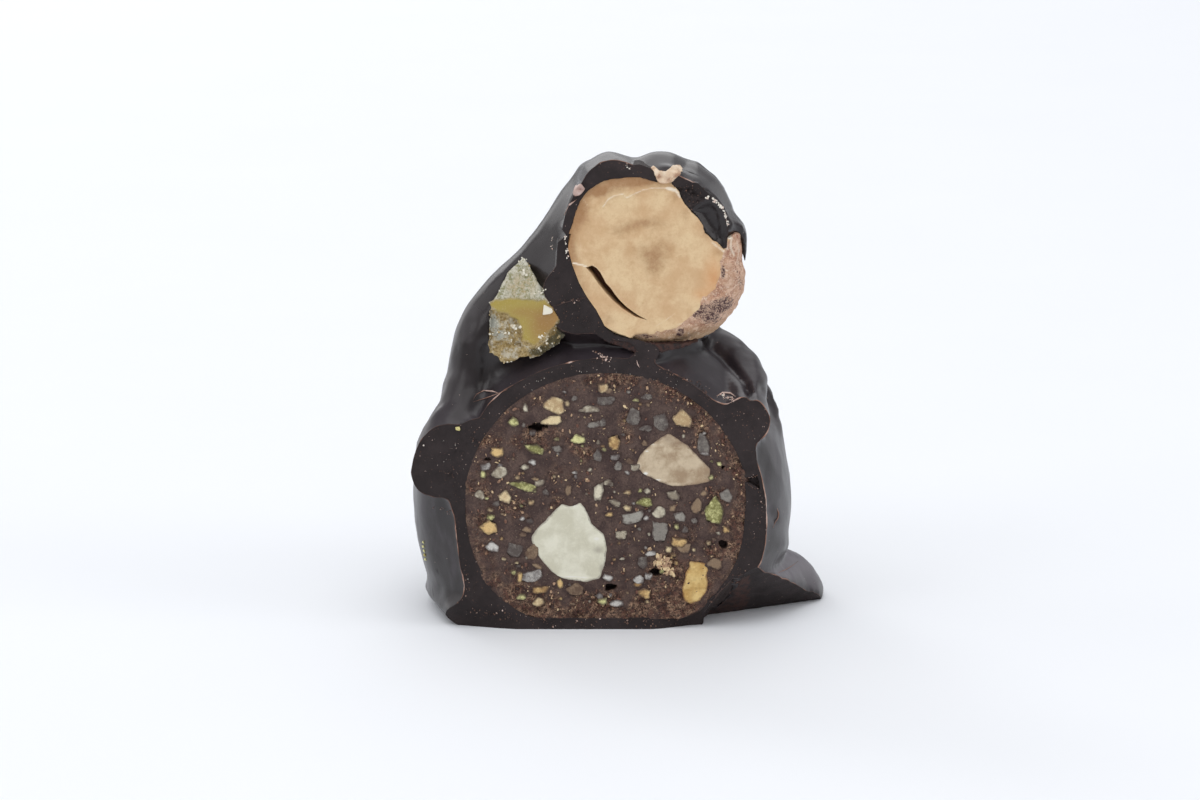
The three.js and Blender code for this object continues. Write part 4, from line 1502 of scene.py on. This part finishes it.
class TRUFFLE_OT_chunks(bpy.types.Operator):
    """Builds the three large pieces of nut in the filling"""

    bl_idname = "truffle.chunks"
    bl_label = "Nut chunks"

    def execute(self, context):
        for number, (kind, traits) in enumerate(CHUNKS.items()):
            outline, *tones, grain, depth, lit, dull = traits
            node = f"nut_chunk_{kind}"
            swell, bumpy = (0.35, 0.16) if kind == "yellow" else (0.16, 0.03)
            chunk = plate(outline, -1, 0.9 * behind(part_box(node)[1]))
            remesh(chunk, CHUNK_CELL, 3)
            waves(chunk, (0.5, swell))
            (left, right), (low, high) = [(min(row) - 1, max(row) + 1) for row in zip(*outline)]
            combine(chunk, knife_block(
                (left, low), (right, high), CHUNK_CELL,
                lambda x, z: 0.01 + bumpy * abs(lumps(place(x, 0, z), 0.5, number + 20.0)),
            ), "INTERSECT")
            keep_marks(chunk, rim=rim_distance(chunk), lit=tint(lit), dull=tint(dull))
            tones = [screen(*tone) for tone in tones]
            flesh = chunk_flesh(node.replace("_", " "), *tones, grain, depth)
            finish(chunk, node, "flesh", [flesh], 40)
        return {"FINISHED"}


# ---- the hazelnut ----


# The crack in its flesh, along the left edge of the cut.
CRACK = (
    (-1.45, 28.67), (-0.95, 28.82), (-0.6, 28.62), (-0.32, 28.27), (-0.08, 27.82), (0.1, 27.47),
    (0.5, 27.02), (0.8, 26.57), (1.2, 26.07), (1.65, 25.62), (2.1, 25.27), (2.6, 24.92),
    (3.35, 24.52), (2.4, 24.77), (1.4, 25.42), (0.7, 26.02), (0.1, 26.67), (-0.5, 27.42),
    (-1.05, 28.22),
)
# Where the chip came off, as far as it reaches beyond the nut.
BITE = (
    (5.55, 35.0), (5.85, 34.6), (6.0, 34.2), (6.25, 33.7), (6.75, 33.1), (7.25, 32.65),
    (7.65, 32.1), (7.85, 31.45), (8.4, 30.95), (8.85, 30.6), (9.3, 30.2), (9.5, 31.0),
    (10.1, 31.25), (10.7, 31.1), (12.2, 31.3), (12.4, 34.5), (10.0, 36.9), (6.0, 36.3),
    (5.3, 35.5),
)
# The ridge that the knife left across the top, the rim of the skin and other fine lines.
RIDGE = (
    (0.0, 33.5), (0.36, 34.04), (0.87, 34.38), (1.55, 34.47), (1.81, 34.18), (2.32, 34.47),
    (3.09, 34.82), (4.02, 34.99), (4.7, 34.99), (5.56, 34.85),
)
SKIN_LINE = (
    (9.9, 32.0), (9.4, 30.1), (9.05, 29.0), (9.1, 28.3), (8.7, 27.45), (8.15, 26.75),
    (7.45, 26.2), (6.95, 25.4), (6.5, 24.65), (5.6, 24.05), (4.55, 23.75), (3.55, 23.6),
    (2.5, 23.3), (1.3, 22.8),
)
# Pale lines of the nut: (line, half width, strength).
PALE_LINES = (
    (RIDGE, 0.08, 0.6),
    (((-2.3, 29.1), (-1.7, 28.98), (-1.3, 28.85)), 0.09, 0.9),
    (((-0.8, 29.0), (-0.2, 28.5), (0.25, 27.7), (0.95, 26.8), (1.8, 25.85)), 0.06, 0.5),
    (((4.0, 24.1), (4.8, 24.6), (5.6, 25.2)), 0.08, 0.4),
    (((-1.9, 31.4), (-1.7, 30.4), (-1.9, 29.6)), 0.1, 0.35),
    (((-1.6, 34.2), (-1.2, 33.6)), 0.07, 0.5),
    (((5.0, 34.9), (5.6, 34.7), (5.9, 34.3)), 0.16, 0.7),
    (((6.3, 33.5), (6.8, 32.9), (7.6, 31.9), (7.8, 31.2)), 0.08, 0.35),
    (((8.4, 30.7), (8.9, 30.3), (9.3, 30.0)), 0.14, 0.6),
    (((9.6, 31.1), (9.9, 31.0), (9.8, 30.3), (10.1, 29.6)), 0.12, 0.9),
    (((10.3, 30.6), (10.5, 29.8), (10.3, 29.0)), 0.10, 0.6),
    (((6.6, 26.6), (7.2, 26.1), (8.3, 26.7)), 0.12, 0.3),
    (((5.8, 24.3), (6.6, 24.5), (7.4, 24.2)), 0.12, 0.5),
)
# Browner, more orange and dark spots: (x, z, half width, half height, strength).
BROWN = (
    (3.9, 28.9, 0.8, 1.0, 0.55), (3.3, 30.0, 1.9, 0.9, 0.35), (1.3, 31.6, 0.9, 0.5, 0.4),
    (2.6, 32.1, 1.1, 0.5, 0.45), (3.9, 32.3, 1.0, 0.5, 0.35), (-2.0, 33.2, 0.9, 1.4, 1.0),
    (-2.7, 31.4, 0.5, 1.8, 0.8), (-0.5, 34.7, 1.6, 0.5, 0.9), (2.2, 35.6, 2.8, 0.6, 1.1),
    (-2.4, 29.4, 0.6, 1.6, 0.5), (-1.6, 26.6, 0.7, 1.8, 0.4), (7.9, 31.6, 0.5, 1.0, 0.4),
    (5.6, 34.4, 0.4, 0.5, 0.4), (4.8, 30.6, 0.9, 1.6, 0.2), (0.3, 24.6, 0.8, 0.6, 0.4),
    (8.9, 30.0, 0.5, 0.5, 0.4), (6.3, 33.0, 0.4, 0.7, 0.35),
)
ORANGE = ((8.5, 28.0, 0.7, 1.6, 0.9), (7.6, 26.6, 0.8, 0.5, 0.6), (-3.0, 29.5, 0.35, 3.0, 0.6))
PATCHES = (
    (7.7, 25.3, 1.1, 0.7, 0.9), (9.3, 25.7, 0.9, 0.7, 0.9), (6.0, 23.6, 0.3, 0.35, 1.2),
    (9.25, 28.4, 0.2, 0.7, 0.8), (10.4, 28.3, 0.3, 1.0, 0.3), (8.6, 24.4, 0.9, 0.5, 0.5),
    (3.2, 23.3, 1.6, 0.3, 0.5), (10.7, 27.2, 0.35, 0.9, 0.4),
)


NUT_CUT = ((-4.6, 21.2), (12.6, 37.7), 0.12)  # corners and squares of the nut's cut face
HEAVY_SIDE = Vector((0.76, 0, -0.65))  # the way its lower right swells out
CROWN = FLESH[1:13] + ((3.0, 33.0), (0.0, 31.5))  # its flesh up to the coat's edge
BITE_DEPTH = 2.4
CRACK_DEPTH = 1.5
CRACK_LEAN = Vector((0.25, 0, 0.2)) * MM  # how far the crack leans towards its end


def nut_skin(x, z):
    """0 on the flesh that the knife laid bare, 1 on the rough skin at the lower right."""
    gap, right = off_line(SKIN_LINE, x, z)
    point = place(x, 0, z)
    gap = gap if right else -gap
    gap += 0.3 * lumps(point, 1.1, 3.0) + 0.22 * lumps(point, 0.45, 5.0)
    return smooth_step(gap, -0.15, 0.25)


def nut_relief(x, z):
    """How far the nut's cut face lies behind the knife's plane."""
    point = place(x, 0, z)
    gap, above = off_line(RIDGE, x, z)
    depth = 0.13 + (0.06 if above and z > 33 else 0.0) - 0.09 * bell(gap, 0.09)
    depth += 0.03 * lumps(point, 3.0, 4.0) + 0.012 * lumps(point, 0.5, 6.0)
    skin = nut_skin(x, z)
    rough = 0.2 * lumps(point, 0.7, 9.0) + 0.12 * lumps(point, 0.3, 2.0)
    out = math.hypot(x - NUT[0], z - NUT[2])
    round_off = 0.45 * max(0.0, out - 5.5) ** 2 * skin
    return max(0.01, depth + skin * (0.08 + rough) + round_off)


def crack_wall(vertex):
    """Above 0 on the walls of the nut's crack, rising deeper behind the cut: where their painted
    shade goes.
    """
    x, z = flat(vertex.co)
    near = any(math.hypot(x - crack_x, z - crack_z) < 0.5 for crack_x, crack_z in CRACK)
    return smooth_step(behind(vertex.co), 0.2, 0.9) * 0.999 if near and z < 29.6 else 0.0


def nut_outside(vertex):
    """1 on the nut's rough skin and on whatever of it lies behind the cut."""
    back = smooth_step(behind(vertex.co), 0.6, 1.0)
    return 0.0 if crack_wall(vertex) else max(nut_skin(*flat(vertex.co)), back)


def paleness(x, z):
    """How pale the fine lines make the nut at a point."""
    rows = [strength * bell(off_line(line, x, z)[0], width) for line, width, strength in PALE_LINES]
    return min(1.0, sum(rows))


class TRUFFLE_OT_hazelnut(bpy.types.Operator):
    """Builds the cut hazelnut with its crack and rough skin"""

    bl_idname = "truffle.hazelnut"
    bl_label = "Hazelnut"

    def execute(self, context):
        look = context.scene.truffle_hazelnut
        nut = nut_ball(NUT_RADIUS, 7)
        for vertex in nut.data.vertices:
            out = (vertex.co - place(*NUT)).normalized()
            rough = 0.12 * lumps(vertex.co, 0.6, 3.0) + 0.07 * lumps(vertex.co, 0.25, 7.0)
            low_right = smooth_step(out.x - 0.4 * out.z, 0.0, 0.6)
            swell = 0.8 * smooth_step(out.dot(HEAVY_SIDE), 0.8, 1.0)
            by = 0.1 * lumps(vertex.co, 3.0, 1.0) + swell + rough * (0.3 + 0.9 * low_right)
            back = smooth_step(behind(vertex.co), 0.8, 2.2)
            by -= 0.35 * back * smooth_step(vertex.co.z / MM, 30.8, 32.4)
            vertex.co += out * by * MM
        combine(nut, plate(CROWN, -1, 0.9), "UNION")
        combine(nut, knife_block(*NUT_CUT, nut_relief), "INTERSECT")
        bite = plate(BITE, -1, BITE_DEPTH)
        edit(bite)
        bpy.ops.mesh.quads_convert_to_tris()
        bpy.ops.mesh.subdivide(number_cuts=12)
        done()
        waves(bite, (0.6, 0.2))
        crack = plate(CRACK, -1, CRACK_DEPTH)
        for vertex in crack.data.vertices:
            if vertex.co.y > KNIFE:
                vertex.co += CRACK_LEAN
        for tool in (bite, crack, *(plate(lap, -1, LAP_DEPTH) for lap in LAPS)):
            combine(nut, tool, "DIFFERENCE")
        keep_marks(
            nut, skin=nut_outside, wall=crack_wall, pale=on_cut(paleness), brown=tint(BROWN),
            orange=tint(ORANGE), patch=tint(PATCHES),
        )
        finish(nut, "hazelnut", "flesh", [nut_flesh(look)])
        return {"FINISHED"}


# ---- the candied fruit ----


FRUIT_CELL = 0.12
SUGAR_GRAINS = 230
# The clear cut face of the fruit.
AMBER_FACE = (
    (-8.95, 25.84), (-8.25, 26.31), (-6.4, 26.33), (-4.5, 26.23), (-3.17, 24.9), (-3.7, 24.2),
    (-4.3, 23.6), (-5.3, 22.7), (-6.2, 23.1), (-6.3, 24.2), (-7.0, 24.9), (-8.1, 25.29),
)
# Tints of the fruit: (x, z, half width, half height, strength).
FRUIT_TINTS = {
    "deep": (
        (-4.7, 24.2, 1.3, 1.5, 0.8), (-3.8, 24.9, 0.8, 0.9, 0.6), (-6.5, 25.3, 1.2, 0.5, 0.4),
    ),
    "cool": (
        (-8.5, 24.4, 0.5, 0.7, 0.9), (-8.0, 23.4, 0.6, 0.5, 0.7), (-4.6, 26.9, 0.4, 0.6, 0.6),
    ),
    "rind": (
        (-3.2, 24.0, 0.4, 0.9, 1.2), (-3.7, 22.9, 0.6, 0.5, 1.2), (-4.9, 22.1, 0.9, 0.4, 1.0),
    ),
    "tan": ((-6.4, 27.2, 1.0, 0.9, 0.9), (-5.6, 27.9, 0.6, 0.6, 0.4)),
    "white": (
        (-4.5, 26.9, 0.4, 0.8, 1.0), (-7.9, 28.2, 0.35, 1.2, 0.9), (-6.0, 29.9, 0.5, 0.4, 0.9),
        (-6.0, 28.4, 0.5, 0.3, 0.7), (-8.2, 24.2, 0.6, 0.9, 0.6), (-6.8, 23.9, 0.5, 0.3, 0.9),
        (-4.6, 23.3, 0.5, 0.3, 0.9), (-5.0, 22.4, 1.2, 0.2, 0.6), (-7.4, 21.4, 1.0, 0.25, 0.6),
    ),
}
# The dark skin that swells out behind the fruit's lower right edge, (x, y, z).
RIND_LUMP = (
    (-3.09, 0.7, 24.77), (-2.97, 0.8, 23.79), (-3.05, 0.9, 23.11), (-3.54, 0.8, 22.57),
    (-4.27, 0.7, 22.03), (-5.06, 0.6, 21.64), (-5.8, 0.6, 21.54), (-4.12, 0.3, 23.89),
    (-5.11, 0.3, 22.62), (-3.34, 2.5, 24.47), (-3.24, 2.5, 23.11), (-4.91, 2.5, 21.83),
    (-5.3, 2.5, 24.38),
)
# The small tip at the left end of its cut face, (x, y, z).
SPUR = (
    (-8.97, 0.15, 25.98), (-8.33, 0.05, 26.25), (-7.94, 0.1, 25.35), (-8.48, 0.1, 25.59),
    (-7.94, 1.2, 26.13), (-8.04, 1.0, 25.55),
)


def frosting(x, z):
    """0 on the clear cut face of the fruit and 1 on its sugared outside."""
    gap, _ = off_line(AMBER_FACE + AMBER_FACE[:1], x, z)
    signed = -gap if inside(AMBER_FACE, x, z) else gap
    return smooth_step(signed + 0.15 * lumps(place(x, 0, z), 0.5, 3.0), -0.12, 0.1)


def grit(vertex):
    """How sugar roughens the fruit at a vertex: a move in metres."""
    x, z = flat(vertex.co)
    facing = vertex.normal.y < -0.35
    frost = frosting(x, z) if facing else 1.0
    coarse = 0.35 + 0.65 * smooth_step(-z, -26.4, -25.6)
    rough = 0.22 * lumps(vertex.co, 0.6, 4.0) + 0.14 * lumps(vertex.co, 0.28, 1.0)
    move = vertex.normal * frost * coarse * rough
    if facing:
        sink = 0.3 if 22.6 < z < 25.4 and x < -6.4 else 0.0
        move.y += frost * sink + 0.03 * lumps(vertex.co, 1.0, 2.0)
    return move * MM


class TRUFFLE_OT_fruit(bpy.types.Operator):
    """Builds the lump of candied fruit with its sugar"""

    bl_idname = "truffle.fruit"
    bl_label = "Candied fruit"

    def execute(self, context):
        look = context.scene.truffle_fruit
        fruit = copy_of("candied_fruit")
        join(fruit, hull(RIND_LUMP, 0.3), hull(SPUR, 0.05))
        remesh(fruit, FRUIT_CELL, 4)
        shift(fruit, grit)
        keep_marks(
            fruit,
            frost=lambda v: frosting(*flat(v.co)) if v.normal.y < -0.3 else 1.0,
            top=lambda v: smooth_step(v.co.z / MM, 25.9, 26.5),
            **{name: tint(rows) for name, rows in FRUIT_TINTS.items()},
        )
        finish(fruit, "candied_fruit", "flesh", [fruit_flesh(look)], 40)
        self.sugar(fruit, look)
        return {"FINISHED"}

    def sugar(self, fruit, look):
        """Presses sugar crystals into the frosted sides and sets one cube on the cut face."""
        chance = random.Random(SEED + 40)
        grain = add("cube", size=1)
        edit(grain)
        bpy.ops.mesh.bevel(offset=0.14, segments=1)
        done()
        faces = [face for face in fruit.data.polygons if face.normal.y < 0.3]
        places = []
        while len(places) < SUGAR_GRAINS:
            face = chance.choice(faces)
            x, z = flat(face.center)
            frontal = face.normal.y < -0.35
            if frontal and frosting(x, z) < 0.8:
                continue
            if frontal and z > 26.2 and chance.random() < 0.75:
                continue
            size = 0.06 + 0.14 * chance.random() ** 2
            turn = any_turn(chance)
            sizes = (size, size * chance.uniform(0.6, 1), size * chance.uniform(0.6, 1))
            places.append((0, face.center.copy(), turn, sizes, chance.uniform(0.2, 1.0)))
        for x, z, size in SUGAR_LUMPS:
            for _ in range(6):
                point = place(x + chance.gauss(0, 0.16), 0.05, z + chance.gauss(0, 0.12))
                turn = any_turn(chance)
                tone = chance.uniform(0.5, 0.95)
                places.append((0, point, turn, (size * chance.uniform(0.4, 1),) * 3, tone))
        sugar = scatter([grain], places, KNIFE - 0.25 * MM)
        block = plate(SUGAR_BLOCK, -0.22, 0.2)
        edit(block)
        bpy.ops.mesh.bevel(offset=0.05 * MM, segments=1)
        done()
        keep_marks(block, shade=lambda vertex: 1.0)
        join(sugar, block)
        tones = look.frost_dark, look.frost_gold, look.frost, look.sugar
        finish(sugar, "candied_fruit", "sugar", [crumb_surface("sugar", *tones)], None)


# The cube of sugar on the cut face.
SUGAR_BLOCK = ((-4.57, 25.88), (-3.94, 25.57), (-3.86, 25.31), (-4.04, 25.17), (-4.66, 25.09))
# Small heaps of sugar, (x, z, size of a grain).
SUGAR_LUMPS = (
    (-4.7, 23.4, 0.22), (-4.4, 23.1, 0.16), (-6.8, 24.1, 0.2), (-7.3, 23.6, 0.16),
    (-6.1, 28.3, 0.18), (-6.0, 29.2, 0.12), (-4.7, 26.9, 0.16), (-5.3, 26.6, 0.14),
)


# ---- chips on the coat ----


class TRUFFLE_OT_chips(bpy.types.Operator):
    """Builds the two chips of nut that lie on the coat"""

    bl_idname = "truffle.chips"
    bl_label = "Nut chips"

    def execute(self, context):
        pieces = [bpy.data.objects[name] for name in ("coat_chocolate", "hazelnut_flesh")]
        context.view_layer.update()
        for side, (outline, tones) in CHIPS.items():
            node = f"nut_chip_{side}"
            chip = flake(outline, pieces, CHIP_THICKNESS)
            waves(chip, *CHIP_WAVES)
            # A chip's tone grows lighter towards its top, a painted shade on its lower part, and
            # lumps vary it at random.
            base = 0.4 - 0.25 * min(z for _, z in outline)
            keep_marks(
                chip,
                shade=lambda v: base + 0.25 * seen(v.co)[1] + 0.7 * lumps(v.co, 0.5, 2.0),
            )
            flesh = crumb_surface(node.replace("_", " "), *(screen(*tone) for tone in tones))
            finish(chip, node, "flesh", [flesh])
        return {"FINISHED"}


CHIP_THICKNESS = 0.35
CHIP_WAVES = ((0.5, 0.25), (0.2, 0.1))
# The chips: outlines as seen() gives them, and tones from dark to light.
CHIPS = {
    "top": (
        (
            (3.69, 36.59), (3.84, 36.73), (4.08, 36.54), (4.37, 36.3), (4.67, 36.2), (5.05, 36.44),
            (5.44, 36.83), (5.93, 36.88), (6.12, 36.54), (5.93, 36.11), (5.54, 35.72),
            (5.25, 35.48), (4.86, 35.34), (4.43, 35.34), (4.13, 35.62), (3.94, 36.06),
        ),
        ((178, 138, 112), (226, 198, 168), (240, 220, 196)),
    ),
    "left": (
        (
            (-2.34, 34.61), (-2.1, 35.19), (-1.71, 35.34), (-1.37, 34.95), (-1.47, 34.71),
            (-1.86, 34.37), (-2.2, 34.28),
        ),
        ((132, 98, 88), (192, 164, 154), (216, 196, 188)),
    ),
}


# ---- the stage ----


FLOOR_SIZE = 6  # metres
WORLD_COLOUR = (0.955, 0.97, 1.0, 1)
# The camera's lens and the width of its sensor, in millimetres.
LENS = 138.3
SENSOR = 36
# Each lamp: its place and its width in metres, and its power in watts.
LAMPS = {
    "top": ((0.05, 0.25, 0.75), 0.9, 1.0),
    "front": ((0, -0.45, 0.75), 0.9, 2.8),
    "left": ((-0.55, -0.45, 0.45), 0.4, 0.65),
    "right": ((0.6, -0.2, 0.3), 0.4, 0.6),
    "back": ((-0.1, 0.7, 0.45), 0.8, 1.2),
    "shine": ((-0.5, 0.75, 0.57), 0.35, 1.0),
    "left rim": ((-0.6, 0.65, 0.15), 0.5, 0.7),
    "right rim": ((0.6, 0.65, 0.15), 0.5, 0.25),
    "side": ((-0.8, 0.1, 0.35), 0.6, 0.7),
}


class TRUFFLE_OT_stage(bpy.types.Operator):
    """Sets up the pale floor, the soft light and the camera"""

    bl_idname = "truffle.stage"
    bl_label = "Stage"

    def execute(self, context):
        look = context.scene.truffle_stage
        floor = add("plane", size=FLOOR_SIZE)
        floor.name = "floor"
        board = Board("pale floor")
        soft = board.noise(30, 2)
        colour = board.layers(look.floor, (soft * 0.3, screen(236, 239, 244)))
        dress(floor, [board.surface(colour, 0.8, soft, 0.01, 0.2)])
        world = bpy.data.worlds.new("white room")
        world.use_nodes = True
        back = world.node_tree.nodes["Background"]
        back.inputs["Color"].default_value = WORLD_COLOUR
        back.inputs["Strength"].default_value = look.glow
        context.scene.world = world
        context.scene.view_settings.view_transform = "Standard"
        target = place(*TARGET)
        for name, (location, size, power) in LAMPS.items():
            light = bpy.data.lights.new(f"{name} light", "AREA")
            light.shape = "DISK"
            light.size = size
            light.energy = power
            lamp = self.put(light, location)
            way = target - lamp.location
            lamp.rotation_euler = way.to_track_quat("-Z", "Y").to_euler()
        lens = bpy.data.cameras.new("camera")
        lens.sensor_width = SENSOR
        lens.lens = LENS
        lens.clip_start = 0.01
        back_up = Vector((0, -math.cos(TILT), math.sin(TILT)))
        camera = self.put(lens, target + DISTANCE * back_up)
        camera.rotation_euler = (math.pi / 2 - TILT, 0, 0)
        context.scene.camera = camera
        return {"FINISHED"}

    def put(self, data, location):
        """Puts a lamp or the camera into the scene."""
        thing = bpy.data.objects.new(data.name, data)
        thing.location = location
        bpy.context.collection.objects.link(thing)
        return thing


# ---- the add-on ----


OPERATORS = (
    TRUFFLE_OT_stage,
    TRUFFLE_OT_coat,
    TRUFFLE_OT_crumbs,
    TRUFFLE_OT_filling,
    TRUFFLE_OT_bits,
    TRUFFLE_OT_chunks,
    TRUFFLE_OT_hazelnut,
    TRUFFLE_OT_fruit,
    TRUFFLE_OT_chips,
)
LOOKS = {
    "truffle_chocolate": ChocolateLook,
    "truffle_filling": FillingLook,
    "truffle_hazelnut": HazelnutLook,
    "truffle_fruit": FruitLook,
    "truffle_stage": StageLook,
}


class TRUFFLE_PT_panel(bpy.types.Panel):
    """Lists the truffle's pieces and their settings"""

    bl_idname = "TRUFFLE_PT_panel"
    bl_label = "Chocolate truffle"
    bl_space_type = "VIEW_3D"
    bl_region_type = "UI"
    bl_category = "Truffle"

    def draw(self, context):
        for operator in OPERATORS:
            self.layout.operator(operator.bl_idname)
        for name, group in LOOKS.items():
            box = self.layout.box()
            for setting in group.__annotations__:
                box.prop(getattr(context.scene, name), setting)


def register():
    for group in (*LOOKS.values(), *OPERATORS, TRUFFLE_PT_panel):
        bpy.utils.register_class(group)
    for name, group in LOOKS.items():
        setattr(bpy.types.Scene, name, bpy.props.PointerProperty(type=group))


def unregister():
    for name in LOOKS:
        delattr(bpy.types.Scene, name)
    for group in reversed((*LOOKS.values(), *OPERATORS, TRUFFLE_PT_panel)):
        bpy.utils.unregister_class(group)


def main():
    register()
    for operator in OPERATORS:
        getattr(bpy.ops.truffle, operator.bl_idname.split(".")[1])()


if __name__ == "__main__":
    main()
